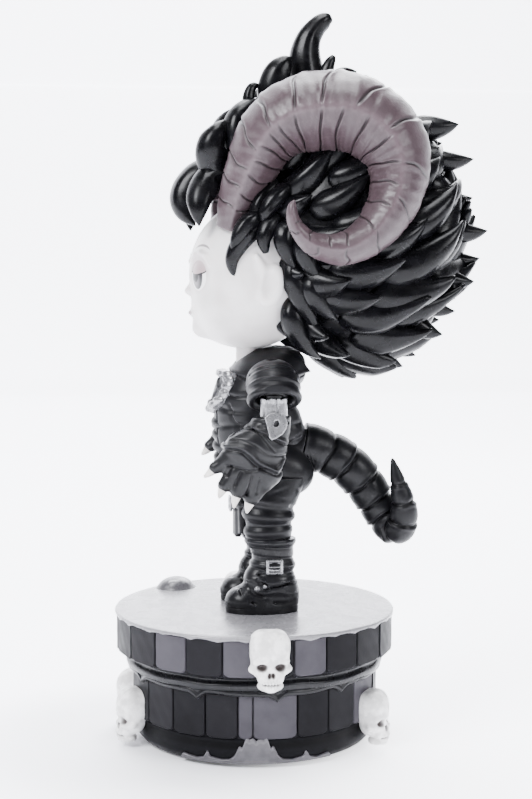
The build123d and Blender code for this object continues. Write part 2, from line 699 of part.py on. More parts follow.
side_locks = [
    lock((17.0, -1.8, 144.0), (0.1, -0.25, -1.0), 3.6, 9.0),
    lock((18.4, 3.0, 142.4), (0.1, 0.1, -1.0), 3.8, 8.0),
]
with BuildPart() as side_lock:
    add(side_locks)
    add([head_outer, *ears, horn_shape, hair_back.part, hair_inner], mode=Mode.SUBTRACT)
both_sides("hair_side_lock", side_lock.part)

for name, piece in pieces.items():
    piece.label = name
    export_step(piece, f"parts/{name}.step")
    print(name, len(piece.solids()), round(piece.volume, 1), piece.is_valid)
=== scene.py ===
"""Looks of the horned vinyl toy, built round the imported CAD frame. Sculpting lengths are millimetres."""

import math

import bpy
import numpy as np
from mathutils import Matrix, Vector


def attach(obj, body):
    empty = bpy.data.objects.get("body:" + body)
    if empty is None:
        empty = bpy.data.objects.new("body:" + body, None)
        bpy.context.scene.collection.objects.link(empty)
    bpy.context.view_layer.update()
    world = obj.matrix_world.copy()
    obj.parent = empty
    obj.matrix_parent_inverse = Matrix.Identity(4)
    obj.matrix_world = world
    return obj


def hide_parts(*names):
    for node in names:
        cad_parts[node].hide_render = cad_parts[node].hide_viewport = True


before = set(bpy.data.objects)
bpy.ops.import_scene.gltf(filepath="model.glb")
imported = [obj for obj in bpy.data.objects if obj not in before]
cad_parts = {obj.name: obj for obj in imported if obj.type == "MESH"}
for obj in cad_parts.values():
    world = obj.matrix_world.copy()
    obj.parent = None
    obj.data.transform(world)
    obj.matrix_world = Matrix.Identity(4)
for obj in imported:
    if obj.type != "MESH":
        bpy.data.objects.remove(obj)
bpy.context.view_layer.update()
MM = 0.001
rng = np.random.default_rng(11)


# Meshes ---------------------------------------------------------------------------------------------------------
def unit(v):
    v = np.asarray(v, float)
    return v / np.maximum(np.linalg.norm(v, axis=-1, keepdims=True), 1e-9)


def smoothstep(low, high, x):
    t = np.clip((x - low) / (high - low), 0, 1)
    return t * t * (3 - 2 * t)


def add_mesh(name, points, faces, body, replaced, finish, slot, **marks):
    """A mesh piece from points in millimetres and an array of triangles or quads, riding on a CAD body.

    Each mark is one number per vertex for the piece's finish to read.
    """
    points = np.asarray(points, np.float32)
    faces = np.asarray(faces, np.int32)
    sides = faces.shape[1]
    mesh = bpy.data.meshes.new(name)
    mesh.vertices.add(len(points))
    mesh.vertices.foreach_set("co", (points * MM).ravel())
    mesh.loops.add(faces.size)
    mesh.loops.foreach_set("vertex_index", faces.ravel())
    mesh.polygons.add(len(faces))
    mesh.polygons.foreach_set("loop_start", np.arange(0, faces.size, sides, dtype=np.int32))
    mesh.update(calc_edges=True)
    mesh.validate()
    mesh.polygons.foreach_set("use_smooth", np.full(len(mesh.polygons), True))
    mesh.update()
    piece = bpy.data.objects.new(name, mesh)
    bpy.context.scene.collection.objects.link(piece)
    mesh.materials.append(finish.material)
    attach(piece, body)
    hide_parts(*replaced)
    for mark, values in marks.items():
        layer = mesh.attributes.new(mark, "FLOAT", "POINT")
        layer.data.foreach_set("value", np.asarray(values, np.float32).ravel())


def joined(parts):
    """One (points, faces) from several with the same number of sides."""
    points, faces, start = [], [], 0
    for p, f in parts:
        points.append(p)
        faces.append(np.asarray(f) + start)
        start += len(p)
    return np.concatenate(points), np.concatenate(faces)


def flipped(points, faces):
    """The mirror image across the figure's middle plane."""
    return np.asarray(points) * np.array([-1.0, 1.0, 1.0]), np.asarray(faces)[:, ::-1]


def both_hands(points, faces):
    """The left piece and its mirror image, each as (hand, points, faces)."""
    return ("left", points, faces), ("right", *flipped(points, faces))


def neighbour_mean(points, faces):
    """Mean of each vertex's neighbours along the faces' edges."""
    a = faces.ravel()
    b = np.roll(faces, -1, axis=1).ravel()
    ends, others = np.concatenate([a, b]), np.concatenate([b, a])
    count = np.maximum(np.bincount(ends, minlength=len(points)), 1)
    total = np.stack([np.bincount(ends, weights=points[others, i], minlength=len(points)) for i in range(3)],
        axis=1)
    return total / count[:, None]


def outward(points, triangles):
    """The triangles, turned round if they face inwards."""
    p = points - points.mean(axis=0)
    volume = np.einsum("ij,ij->i", p[triangles[:, 0]], np.cross(p[triangles[:, 1]], p[triangles[:, 2]])).sum()
    return triangles if volume > 0 else triangles[:, ::-1]


def relaxed(points, faces, rounds=2):
    """Smooths a mesh a little without shrinking it."""
    points = points.copy()
    for _ in range(rounds):
        points += 0.5 * (neighbour_mean(points, faces) - points)
        points -= 0.52 * (neighbour_mean(points, faces) - points)
    return points


def vertex_normals(points, faces):
    corner = points[faces]
    normal = np.cross(corner[:, 2] - corner[:, 0], corner[:, -1] - corner[:, 1])
    ends = faces.ravel()
    spread = np.repeat(normal, faces.shape[1], axis=0)
    total = np.stack([np.bincount(ends, weights=spread[:, i], minlength=len(points)) for i in range(3)], axis=1)
    return unit(total)


def hollowness(points, faces, reach=6):
    """From about -1 on sharp edges to 1 in creases, for each vertex."""
    far = points
    for _ in range(reach):
        far = neighbour_mean(far, faces)
    rise = np.einsum("ij,ij->i", far - points, vertex_normals(points, faces))
    return np.clip(rise / 0.22, -1, 1)


def grid_faces(rows, columns, closed=True):
    """Quads of a rows by columns sheet of vertices, joined round its columns if closed."""
    row = np.arange(rows - 1)[:, None]
    column = np.arange(columns if closed else columns - 1)[None, :]
    after = (column + 1) % columns
    quads = np.stack(
        [row * columns + column, row * columns + after, (row + 1) * columns + after,
        (row + 1) * columns + column], axis=-1
    )
    return quads.reshape(-1, 4)


def curve_through(stations, count):
    """Smooth rows of numbers through the given rows."""
    stations = np.asarray(stations, float)
    knots = np.concatenate([[2 * stations[0] - stations[1]], stations, [2 * stations[-1] - stations[-2]]])
    t = np.linspace(0, len(stations) - 1, count)
    i = np.minimum(t.astype(int), len(stations) - 2)
    u = (t - i)[:, None]
    p0, p1, p2, p3 = (knots[i + k] for k in range(4))
    return 0.5 * (2 * p1 + (p2 - p0) * u + (2 * p0 - 5 * p1 + 4 * p2 - p3) * u**2
        + (3 * p1 - p0 - 3 * p2 + p3) * u**3)


def even_rings(stations, fine, rings):
    """Middles, radii, directions and lengths of rings evenly spaced along rows of (x, y, z, radius)."""
    line = curve_through(stations, fine)
    length = np.concatenate([[0], np.cumsum(np.linalg.norm(np.diff(line[:, :3], axis=0), axis=1))])
    s = np.linspace(0, length[-1], rings)
    line = np.stack([np.interp(s, length, line[:, i]) for i in range(4)], axis=1)
    middle, radius = line[:, :3], line[:, 3]
    return middle, radius, unit(np.gradient(middle, axis=0)), s


def closed_tube(points, root, tip):
    """Rings of points, closed by a point at each end, as (points, triangles facing outwards)."""
    rings, sides = points.shape[:2]
    points = np.concatenate([points.reshape(-1, 3), [root], [tip]])
    faces = grid_faces(rings, sides)
    ring = np.arange(sides)
    after = (ring + 1) % sides
    end = (rings - 1) * sides
    first, last = rings * sides, rings * sides + 1
    caps = [
        np.stack([after, ring, np.full(sides, first)], axis=1),
        np.stack([end + ring, end + after, np.full(sides, last)], axis=1),
    ]
    return points, outward(points, np.concatenate([faces[:, [0, 1, 2]], faces[:, [0, 2, 3]], *caps]))


# Clay -----------------------------------------------------------------------------------------------------------
def turn(angles):
    """Rotation matrix for turns about X, then Y, then Z, in degrees."""
    a, b, c = np.radians(angles)
    x = np.array([[1, 0, 0], [0, math.cos(a), -math.sin(a)], [0, math.sin(a), math.cos(a)]])
    y = np.array([[math.cos(b), 0, math.sin(b)], [0, 1, 0], [-math.sin(b), 0, math.cos(b)]])
    z = np.array([[math.cos(c), -math.sin(c), 0], [math.sin(c), math.cos(c), 0], [0, 0, 1]])
    return z @ y @ x


class Clay:
    """Solid sculpted on a grid of distances, added to and dug into with soft-edged shapes."""

    def __init__(self, low, high, cell):
        self.low, self.cell = np.array(low, float), cell
        counts = np.ceil((np.array(high, float) - self.low) / cell).astype(int) + 1
        self.axes = [self.low[i] + cell * np.arange(counts[i]) for i in range(3)]
        self.field = np.full(counts, 9.0, np.float32)

    def shape(self, distance, centre, reach, soft=0.0, dig=False):
        """Adds, or digs out, the solid where distance(points) is negative, near its centre only."""
        spans = []
        for axis, middle, half in zip(self.axes, centre, np.broadcast_to(reach, 3)):
            first, last = np.searchsorted(axis, [middle - half, middle + half])
            if last - first < 2:
                return
            spans.append(slice(first, last))
        grid = np.stack(np.meshgrid(*[axis[span] for axis, span in zip(self.axes, spans)], indexing="ij"),
            axis=-1)
        sign = -1.0 if dig else 1.0
        a, b = sign * self.field[tuple(spans)], distance(grid)
        if soft > 0:
            h = np.clip(0.5 + 0.5 * (a - b) / soft, 0, 1)
            a = a * (1 - h) + b * h - soft * h * (1 - h)
        else:
            a = np.minimum(a, b)
        self.field[tuple(spans)] = sign * a

    def egg(self, centre, radii, angles=(0, 0, 0), soft=0.0, dig=False):
        radii = np.array(np.broadcast_to(radii, 3), float)
        spin = turn(angles)

        def distance(p):
            q = (p - centre) @ spin
            k0 = np.linalg.norm(q / radii, axis=-1)
            k1 = np.maximum(np.linalg.norm(q / radii**2, axis=-1), 1e-6)
            return k0 * (k0 - 1) / k1

        self.shape(distance, centre, radii.max() + soft + 1.5, soft, dig)

    def rod(self, start, end, r_start, r_end=None, soft=0.0, dig=False):
        start, end = np.array(start, float), np.array(end, float)
        r_end = r_start if r_end is None else r_end
        along = end - start

        def distance(p):
            q = p - start
            h = np.clip((q @ along) / (along @ along), 0, 1)
            return np.linalg.norm(q - h[..., None] * along, axis=-1) - (r_start + (r_end - r_start) * h)

        self.shape(distance, (start + end) / 2, np.abs(along) / 2 + max(r_start, r_end) + soft + 1.0, soft, dig)

    def chain(self, points, radius, soft=0.0, dig=False):
        """A round bead along a smooth line of points."""
        for a, b in zip(points[:-1], points[1:]):
            self.rod(a, b, radius, soft=soft, dig=dig)

    def ring(self, centre, normal, radii, tube, soft=0.0, dig=False):
        """A rounded hoop whose hole has the two half widths radii, across the plane of normal."""
        centre, normal = np.array(centre, float), unit(normal)
        side = unit(np.cross(normal, (0.0, 1.0, 0.1)))
        other = np.cross(normal, side)
        wide, deep = np.broadcast_to(radii, 2)

        def distance(p):
            q = p - centre
            u, v, w = q @ side, q @ other, q @ normal
            round_ = np.hypot(u / wide, v / deep)
            mean = np.hypot(u, v) / np.maximum(round_, 1e-6)
            return np.hypot((round_ - 1) * mean, w) - tube

        self.shape(distance, centre, max(wide, deep) + tube + soft + 1.0, soft, dig)

    def slab(self, centre, half, angles=(0, 0, 0), round_=0.3, soft=0.0, dig=False):
        half, spin = np.array(half, float), turn(angles)

        def distance(p):
            q = np.abs((p - centre) @ spin) - (half - round_)
            outside = np.linalg.norm(np.maximum(q, 0), axis=-1)
            return outside + np.minimum(q.max(axis=-1), 0) - round_

        self.shape(distance, centre, np.linalg.norm(half) + soft + 0.6, soft, dig)

    def cut(self, point, normal, soft=0.0):
        """Removes everything on the side of a plane that its normal points to."""
        point, normal = np.array(point, float), unit(normal)
        middle = [(axis[0] + axis[-1]) / 2 for axis in self.axes]
        half = [(axis[-1] - axis[0]) / 2 + 1 for axis in self.axes]
        self.shape(lambda p: -((p - point) @ normal), middle, half, soft, dig=True)

    def disc_cut(self, point, axis, radius, deep):
        """Clears a round room in front of a flat face."""
        point, axis = np.array(point, float), unit(axis)

        def distance(p):
            q = p - point
            w = q @ axis
            return np.maximum(np.linalg.norm(q - w[..., None] * axis, axis=-1) - radius,
                np.abs(w - deep / 2) - deep / 2)

        self.shape(distance, point + axis * deep / 2, radius + deep, dig=True)

    def prism(self, outline, origin, plane, half_thick, round_=0.3, soft=0.0, dig=False):
        """A flat shape with rounded edges: an outline in the named plane, or in one given by two directions."""
        named = {"YZ": ((0, 1, 0), (0, 0, 1)), "XZ": ((1, 0, 0), (0, 0, 1))}
        u, v = (np.array(axis, float) for axis in (named[plane] if isinstance(plane, str) else plane))
        origin, w = np.array(origin, float), np.cross(u, v)
        corners = np.array(outline, float)

        def distance(p):
            q = p - origin
            a, b = q @ u, q @ v
            flat = np.full(a.shape, 1e9)
            inside = np.zeros(a.shape, bool)
            for (x1, y1), (x2, y2) in zip(corners, np.roll(corners, -1, axis=0)):
                ex, ey = x2 - x1, y2 - y1
                t = np.clip(((a - x1) * ex + (b - y1) * ey) / (ex * ex + ey * ey), 0, 1)
                flat = np.minimum(flat, np.hypot(a - x1 - t * ex, b - y1 - t * ey))
                if ey:
                    inside ^= ((y1 > b) != (y2 > b)) & (a < ex * (b - y1) / ey + x1)
            flat = np.where(inside, -flat, flat) + round_
            thick = np.abs(q @ w) - half_thick + round_
            outer = np.hypot(np.maximum(flat, 0), np.maximum(thick, 0))
            return outer + np.minimum(np.maximum(flat, thick), 0) - round_

        middle = corners.mean(axis=0)
        centre = origin + u * middle[0] + v * middle[1]
        reach = np.linalg.norm(corners - middle, axis=1).max() + half_thick + soft + 1
        self.shape(distance, centre, reach, soft, dig)

    def score(self, line, plane, width, depth, front=False, back=False):
        """A groove, or a bead where depth is negative, along a line seen square on in the named plane."""
        line = curve_through(np.array(line, float), 24)
        first, second = {"YZ": (1, 2), "XZ": (0, 2)}[plane]
        a, b = np.meshgrid(self.axes[first], self.axes[second], indexing="ij")
        near = np.full(a.shape, 1e9)
        for (x1, y1), (x2, y2) in zip(line[:-1], line[1:]):
            ex, ey = x2 - x1, y2 - y1
            t = np.clip(((a - x1) * ex + (b - y1) * ey) / (ex * ex + ey * ey + 1e-9), 0, 1)
            near = np.minimum(near, np.hypot(a - x1 - t * ex, b - y1 - t * ey))
        change = depth * np.exp(-((near / width) ** 2))
        if plane == "YZ":
            self.field += change[None].astype(np.float32)
        else:
            y = self.axes[1][None, :, None]
            where = (y < 0) if front else (y > 0) if back else np.ones_like(y, bool)
            self.field += (change[:, None, :] * where).astype(np.float32)

    def ovals(self, rows, soft=0.0):
        """A body through level ovals, each (height, centre x, centre y, half width, half depth)."""
        rows = np.array(rows, float)
        heights = rows[:, 0]

        def distance(p):
            z = np.clip(p[..., 2], heights[0], heights[-1])
            cx, cy, hx, hy = (np.interp(z, heights, rows[:, i]) for i in range(1, 5))
            u, v = (p[..., 0] - cx) / hx, (p[..., 1] - cy) / hy
            round_ = np.hypot(u, v)
            mean = np.hypot(p[..., 0] - cx, p[..., 1] - cy) / np.maximum(round_, 1e-6)
            side = (round_ - 1) * np.minimum(mean + 1e-3, 40)
            side = np.where(round_ < 0.05, -np.minimum(hx, hy), side)
            above = np.abs(p[..., 2] - (heights[0] + heights[-1]) / 2) - (heights[-1] - heights[0]) / 2
            return np.maximum(side * 0.9, above)

        middle = [rows[:, 1].mean(), rows[:, 2].mean(), (heights[0] + heights[-1]) / 2]
        half = [rows[:, 3].max() + 4, rows[:, 4].max() + 5, (heights[-1] - heights[0]) / 2 + soft + 1]
        self.shape(distance, middle, half, soft)

    def skin(self, rounds=2):
        """The surface as (points, quads), by averaging the crossings in each cell."""
        f = np.pad(self.field, 1, constant_values=9.0)
        inside = f < 0
        corners = [(i, j, k) for i in (0, 1) for j in (0, 1) for k in (0, 1)]
        size = np.array(f.shape) - 1
        view = lambda array, c: array[c[0] : c[0] + size[0], c[1] : c[1] + size[1], c[2] : c[2] + size[2]]
        filled = sum(view(inside, c).astype(np.int8) for c in corners)
        cells = np.argwhere((filled > 0) & (filled < 8))
        number = np.full(size, -1, np.int32)
        number[tuple(cells.T)] = np.arange(len(cells))
        total, hits = np.zeros((len(cells), 3)), np.zeros(len(cells))
        for a in corners:
            for axis in range(3):
                if a[axis]:
                    continue
                step = np.eye(3, dtype=int)[axis]
                fa = f[tuple((cells + a).T)]
                fb = f[tuple((cells + a + step).T)]
                crossing = (fa < 0) != (fb < 0)
                t = np.where(crossing, fa / np.where(crossing, fa - fb, 1), 0)
                total += crossing[:, None] * (np.array(a) + t[:, None] * step)
                hits += crossing
        points = self.low + self.cell * (cells + total / hits[:, None] - 1)
        quads = []
        for axis in range(3):
            u, v = [k for k in range(3) if k != axis]
            if axis == 1:
                u, v = v, u
            step = np.eye(3, dtype=int)
            low = [slice(None)] * 3
            high = [slice(None)] * 3
            low[axis], high[axis] = slice(0, -1), slice(1, None)
            start, end = inside[tuple(low)], inside[tuple(high)]
            edges = np.argwhere(start != end)
            edges = edges[(edges[:, u] > 0) & (edges[:, v] > 0)]
            edges = edges[(edges[:, u] < size[u]) & (edges[:, v] < size[v])]
            shared = [edges - du * step[u] - dv * step[v] for du, dv in ((1, 1), (0, 1), (0, 0), (1, 0))]
            quad = np.stack([number[tuple(cell.T)] for cell in shared], axis=1)
            outward = start[tuple(edges.T)]
            quad[~outward] = quad[~outward][:, ::-1]
            quads.append(quad)
        quads = np.concatenate(quads)
        quads = quads[(quads >= 0).all(axis=1)]
        return relaxed(points, quads, rounds), quads


# Finishes -------------------------------------------------------------------------------------------------------
class Finish:
    """A node material read in object coordinates, which are millimetres here."""

    def __init__(self, name, roughness=0.45, coat=0.0, metallic=0.0, specular=0.5):
        self.material = bpy.data.materials.new(name)
        self.material.use_nodes = True
        self.tree = self.material.node_tree
        self.tree.nodes.clear()
        self.output = self.node("ShaderNodeOutputMaterial")
        self.shader = self.node("ShaderNodeBsdfPrincipled")
        self.tree.links.new(self.shader.outputs[0], self.output.inputs[0])
        self.shader.inputs["Roughness"].default_value = roughness
        self.shader.inputs["Metallic"].default_value = metallic
        self.shader.inputs["Coat Weight"].default_value = coat
        self.shader.inputs["Coat Roughness"].default_value = 0.12
        self.shader.inputs["Specular IOR Level"].default_value = specular
        coordinates = self.node("ShaderNodeTexCoord")
        self.place = self.node("ShaderNodeVectorMath", operation="SCALE")
        self.place.inputs["Scale"].default_value = 1000.0
        self.tree.links.new(coordinates.outputs["Object"], self.place.inputs[0])

    def node(self, kind, **settings):
        made = self.tree.nodes.new(kind)
        for key, value in settings.items():
            setattr(made, key, value)
        return made

    def noise(self, size, detail=3.0, stretch=(1, 1, 1), contrast=None):
        """Noise with features about size millimetres wide, as a socket from 0 to 1."""
        spread = self.node("ShaderNodeVectorMath", operation="MULTIPLY")
        spread.inputs[1].default_value = [1 / (size * k) for k in stretch]
        self.tree.links.new(self.place.outputs[0], spread.inputs[0])
        texture = self.node("ShaderNodeTexNoise")
        texture.inputs["Scale"].default_value = 1.0
        texture.inputs["Detail"].default_value = detail
        self.tree.links.new(spread.outputs[0], texture.inputs["Vector"])
        if contrast is None:
            return texture.outputs[0]
        return self.remap(texture.outputs[0], *contrast)

    def remap(self, socket, low, high, to_low=0.0, to_high=1.0):
        made = self.node("ShaderNodeMapRange", interpolation_type="SMOOTHSTEP")
        self.tree.links.new(socket, made.inputs["Value"])
        for key, value in (("From Min", low), ("From Max", high), ("To Min", to_low), ("To Max", to_high)):
            made.inputs[key].default_value = value
        return made.outputs[0]

    def read(self, name):
        made = self.node("ShaderNodeAttribute", attribute_type="GEOMETRY", attribute_name=name)
        return made.outputs["Fac"]

    def times(self, a, b):
        made = self.node("ShaderNodeMath", operation="MULTIPLY")
        for i, value in enumerate((a, b)):
            if isinstance(value, (int, float)):
                made.inputs[i].default_value = value
            else:
                self.tree.links.new(value, made.inputs[i])
        return made.outputs[0]

    def oval(self, centre, radii, spin, inner, outer):
        """1 inside an oval round a place, fading to 0 from inner to outer, which are shares of its radii."""
        made = self.node("ShaderNodeMapping", vector_type="TEXTURE")
        made.inputs["Location"].default_value = centre
        made.inputs["Rotation"].default_value = (0, 0, math.radians(spin))
        made.inputs["Scale"].default_value = radii
        self.tree.links.new(self.place.outputs[0], made.inputs["Vector"])
        length = self.node("ShaderNodeVectorMath", operation="LENGTH")
        self.tree.links.new(made.outputs[0], length.inputs[0])
        return self.remap(length.outputs["Value"], inner, outer, 1.0, 0.0)

    def without(self, socket):
        return self.remap(socket, 0.0, 1.0, 1.0, 0.0)

    def mix(self, first, second, factor):
        made = self.node("ShaderNodeMix", data_type="RGBA")
        for i, value in ((6, first), (7, second)):
            if isinstance(value, tuple):
                made.inputs[i].default_value = (*value, 1)
            else:
                self.tree.links.new(value, made.inputs[i])
        if isinstance(factor, (int, float)):
            made.inputs[0].default_value = factor
        else:
            self.tree.links.new(factor, made.inputs[0])
        return made.outputs[2]

    def colour(self, socket):
        self.tree.links.new(socket, self.shader.inputs["Base Color"])

    def gloss(self, socket, low, high):
        self.tree.links.new(self.remap(socket, 0.2, 0.8, low, high), self.shader.inputs["Roughness"])

    def bump(self, socket, depth):
        made = self.node("ShaderNodeBump")
        made.inputs["Strength"].default_value = 1.0
        made.inputs["Distance"].default_value = depth * MM
        self.tree.links.new(socket, made.inputs["Height"])
        for name in ("Normal", "Coat Normal"):
            self.tree.links.new(made.outputs[0], self.shader.inputs[name])


def painted(name, base, shade, edge, roughness, coat=0.0, metallic=0.0, blotch=6.0, worn=0.5, grain=0.03,
        grain_size=0.5,
            wash=0.8, specular=0.5):
    """Cast and painted vinyl: blotched colour, a wash in the creases that is also painted shade, edges lighter as
    wear and as a painted highlight, and a fine grain.
    """
    finish = Finish(name, roughness, coat, metallic, specular)
    cloud = finish.noise(blotch, 4.0, contrast=(0.35, 0.65))
    tone = finish.mix(base, shade, finish.times(cloud, 0.35))
    hollow = finish.read("hollow")
    # Darker in the creases: a wash, and painted shade there.
    in_crease = finish.times(finish.remap(hollow, 0.05, 0.75), wash)
    # Lighter on sharp edges: wear, and a painted highlight.
    on_edge = finish.times(finish.remap(hollow, -0.15, -0.9), worn)
    tone = finish.mix(tone, shade, in_crease)
    tone = finish.mix(tone, edge, on_edge)
    # Painted shade where a piece marks it dark, as in the skulls' sockets, nose and mouth.
    tone = finish.mix(tone, shade, finish.read("dark"))
    finish.colour(tone)
    finish.gloss(finish.noise(blotch * 0.5, 3.0), max(roughness - 0.07, 0.03), roughness + 0.09)
    finish.bump(finish.noise(grain_size, 2.0), grain)
    return finish


black_gloss = painted("black_gloss", (0.0085, 0.0085, 0.0098), (0.0012, 0.0012, 0.0016), (0.013, 0.013, 0.016),
    0.29, grain=0.01, specular=0.2)
black_satin = painted("black_satin", (0.0046, 0.0046, 0.0056), (0.0012, 0.0012, 0.0016), (0.017, 0.0165, 0.019),
    0.36, grain=0.03, specular=0.17)
glove_grey = painted("glove_grey", (0.0075, 0.0075, 0.0084), (0.0018, 0.0018, 0.0022), (0.026, 0.026, 0.029),
    0.34, worn=0.5, specular=0.22)
claw_ivory = painted("claw_ivory", (0.68, 0.655, 0.62), (0.2, 0.17, 0.15), (0.85, 0.83, 0.8), 0.38, coat=0.1,
    blotch=2.0)
silver_paint = painted("silver_paint", (0.27, 0.27, 0.28), (0.012, 0.012, 0.013), (0.6, 0.6, 0.61), 0.3,
    metallic=0.8, blotch=1.2, wash=1.0)
bone_white = painted("bone_white", (0.88, 0.87, 0.86), (0.06, 0.048, 0.045), (0.95, 0.945, 0.94), 0.42,
    blotch=2.5, wash=0.9, grain=0.05)
trim_grey = painted("trim_grey", (0.062, 0.058, 0.066), (0.012, 0.011, 0.012), (0.12, 0.115, 0.125), 0.36,
    blotch=3.0, worn=0.5)
base_grey = painted("base_grey", (0.185, 0.181, 0.192), (0.132, 0.131, 0.138), (0.5, 0.49, 0.51), 0.26,
    coat=0.1, blotch=9.0, wash=0.4, worn=0.0)
steel = painted("steel", (0.4, 0.4, 0.42), (0.2, 0.2, 0.2), (0.6, 0.6, 0.6), 0.3, metallic=1.0)


# Head's place ----------------------------------------------------------------------------------------------------
HEAD = np.array([0.0, 0.0, 131.5])
HAIR = np.array([0.0, 27.5, 142.5])
HAIR_HALF = np.array([27.0, 30.0, 35.8])


# Horns ----------------------------------------------------------------------------------------------------------
HORN = [
    (11.8, -7.6, 143.8, 4.0), (12.5, -6.8, 147.4, 4.6), (14.1, -5.4, 153.2, 5.5), (16.4, -2.2, 160.9, 6.9),
    (18.4, 1.4, 168.0, 8.2), (20.2, 6.3, 172.6, 9.3), (21.6, 11.6, 174.6, 10.0), (22.9, 17.2, 175.2, 10.2),
    (24.4, 23.1, 174.7, 10.0), (25.7, 28.4, 172.3, 9.7), (26.9, 32.6, 168.5, 9.3), (28.0, 35.0, 164.4, 8.7),
    (28.8, 35.8, 160.3, 8.0), (29.8, 35.4, 155.6, 7.2), (30.7, 34.0, 150.8, 6.6), (31.7, 31.3, 146.3, 5.9),
    (32.4, 28.5, 142.9, 5.3), (33.1, 25.3, 140.4, 4.8), (33.7, 22.2, 138.8, 4.4), (34.1, 19.2, 138.0, 4.1),
    (34.6, 15.8, 138.2, 3.6), (35.1, 12.7, 139.0, 3.1), (35.4, 10.3, 140.3, 2.6), (35.8, 8.3, 142.3, 2.2),
    (36.0, 6.8, 144.6, 1.8), (36.3, 6.1, 146.8, 1.5), (36.4, 6.1, 149.0, 1.1), (36.5, 6.6, 150.4, 0.35),
]
HORN_CENTRE = np.array([26.0, 17.5, 156.5])
OUTER_GROOVES = [3.0, 8.5, 14.5, 20.5, 27.0, 34.0, 41.5, 50.0, 60.0, 70.5, 80.5, 90.0, 98.5, 106.0, 112.5]
INNER_GROOVES = [
    2.6, 6.8, 13.0, 17.5, 21.3, 25.6, 29.5, 34.0, 40.6, 47.0, 55.0, 63.0, 70.0, 76.5, 83.0, 89.5, 98.0, 104.0,
    109.5, 114.5,
]
HORN_LEAD = 3.7


def horn_mesh(rings=640, sides=96):
    """A curling horn: rounded three-sided section, a ridge along its outward side and grooves across both faces."""
    middle, radius, along, length = even_rings(HORN, 4000, rings)
    out = np.array([1.0, -0.12, 0.0])
    out = unit(out - along * (along @ out)[:, None])
    side = np.cross(out, along)
    away = middle - HORN_CENTRE
    side *= np.sign(np.median(np.einsum("ij,ij->i", side, away)))
    angle = np.linspace(0, 2 * math.pi, sides, endpoint=False)
    a, s = np.meshgrid(angle, length - HORN_LEAD)
    turned = np.where(a > math.pi, a - 2 * math.pi, a)
    r = radius[:, None] * (1 + 0.075 * np.cos(3 * turned) - 0.035 * np.cos(2 * turned))
    ridge = np.exp(-((turned / 0.16) ** 2)) * smoothstep(-8, 4, s) * smoothstep(118, 100, s)
    r = r + ridge * radius[:, None] * 0.045
    groove = np.zeros_like(r)
    for face, places in ((1, OUTER_GROOVES), (-1, INNER_GROOVES)):
        for n, place in enumerate(places):
            wobble = 0.5 * np.sin(2.1 * turned * face + n * 1.7) + 0.25 * np.sin(5 * turned + n)
            lean = (1.5 if face > 0 else -1.0) * (np.abs(turned) / math.pi) * (1 if n % 2 else 0.6)
            offset = s - (place + wobble + lean * radius[:, None] * 0.35)
            strength = smoothstep(-0.05, 0.28, turned * face) * smoothstep(3.13, 2.6, np.abs(turned))
            wide = 0.17 + 0.022 * radius[:, None]
            groove += strength * np.exp(-((offset / wide) ** 2))
            swollen = np.exp(-(((offset - 1.5 * wide) / (2.2 * wide)) ** 2))
            r += strength * 0.22 * (radius[:, None] / 9) * swollen
    groove = np.clip(groove, 0, 1)
    ripple = 0.10 * np.sin(s * 0.9 + 2 * np.sin(2 * turned)) + 0.06 * np.sin(s * 2.3 + 3 * turned)
    r = r + ripple * radius[:, None] / 9 - groove * (0.18 + 0.05 * radius[:, None])
    r = np.maximum(r, 0.05)
    points = middle[:, None] + r[..., None] * (np.cos(a)[..., None] * out[:, None]
        + np.sin(a)[..., None] * side[:, None])
    outer_face = smoothstep(-0.06, 0.06, turned) * smoothstep(3.14, 2.2, turned)
    # Where the outer face meets the ridge, marked for painted shade.
    shelf = np.exp(-(((turned - 0.42) / 0.34) ** 2)) * smoothstep(14, 30, s) * smoothstep(100, 80, s)
    marks = {"groove": groove, "ridge": ridge, "outer": outer_face, "shelf": shelf}
    marks = {key: np.append(values.ravel(), [0, 0]) for key, values in marks.items()}
    marks["along"] = np.append((s / 120).ravel(), [0, 1])
    return *closed_tube(points, middle[0], middle[-1] + along[-1] * 0.3), marks


def horn_finish():
    finish = Finish("horn_mauve", 0.48, coat=0.04, specular=0.3)
    light, dark, deep, pale = (0.058, 0.041, 0.047), (0.03, 0.0185, 0.022), (0.0055, 0.0034, 0.004), (0.135,
        0.103, 0.114)
    cloud = finish.noise(5.0, 5.0, contrast=(0.35, 0.68))
    # The outer face is painted lighter than the inner one, as the side the light falls on.
    tone = finish.mix(dark, light, finish.remap(finish.read("outer"), 0, 1, 0.45, 0.8))
    tone = finish.mix(tone, dark, finish.times(cloud, 0.45))
    streak = finish.noise(1.1, 4.0, contrast=(0.5, 0.75))
    tone = finish.mix(tone, pale, finish.times(streak, 0.18))
    # Painted shade on the outer face along the ridge.
    tone = finish.mix(tone, dark, finish.times(finish.read("shelf"), 0.75))
    # Painted highlight along the ridge.
    tone = finish.mix(tone, pale, finish.times(finish.read("ridge"), 0.16))
    # Painted shade in the grooves.
    tone = finish.mix(tone, deep, finish.times(finish.read("groove"), 0.9))
    # Painted highlight on sharp edges.
    tone = finish.mix(tone, pale, finish.times(finish.remap(finish.read("hollow"), -0.2, -0.8), 0.22))
    finish.colour(tone)
    finish.gloss(finish.noise(3.0, 3.0), 0.3, 0.46)
    finish.bump(finish.noise(0.6, 3.0), 0.06)
    return finish


horn_mauve = horn_finish()
points, faces, marks = horn_mesh()
marks["hollow"] = hollowness(points, faces, 3)
for hand, points, faces in both_hands(points, faces):
    add_mesh(f"{hand}_horn", points, faces, "head", [f"horn_{hand}"], horn_mauve, "horn_mauve", **marks)


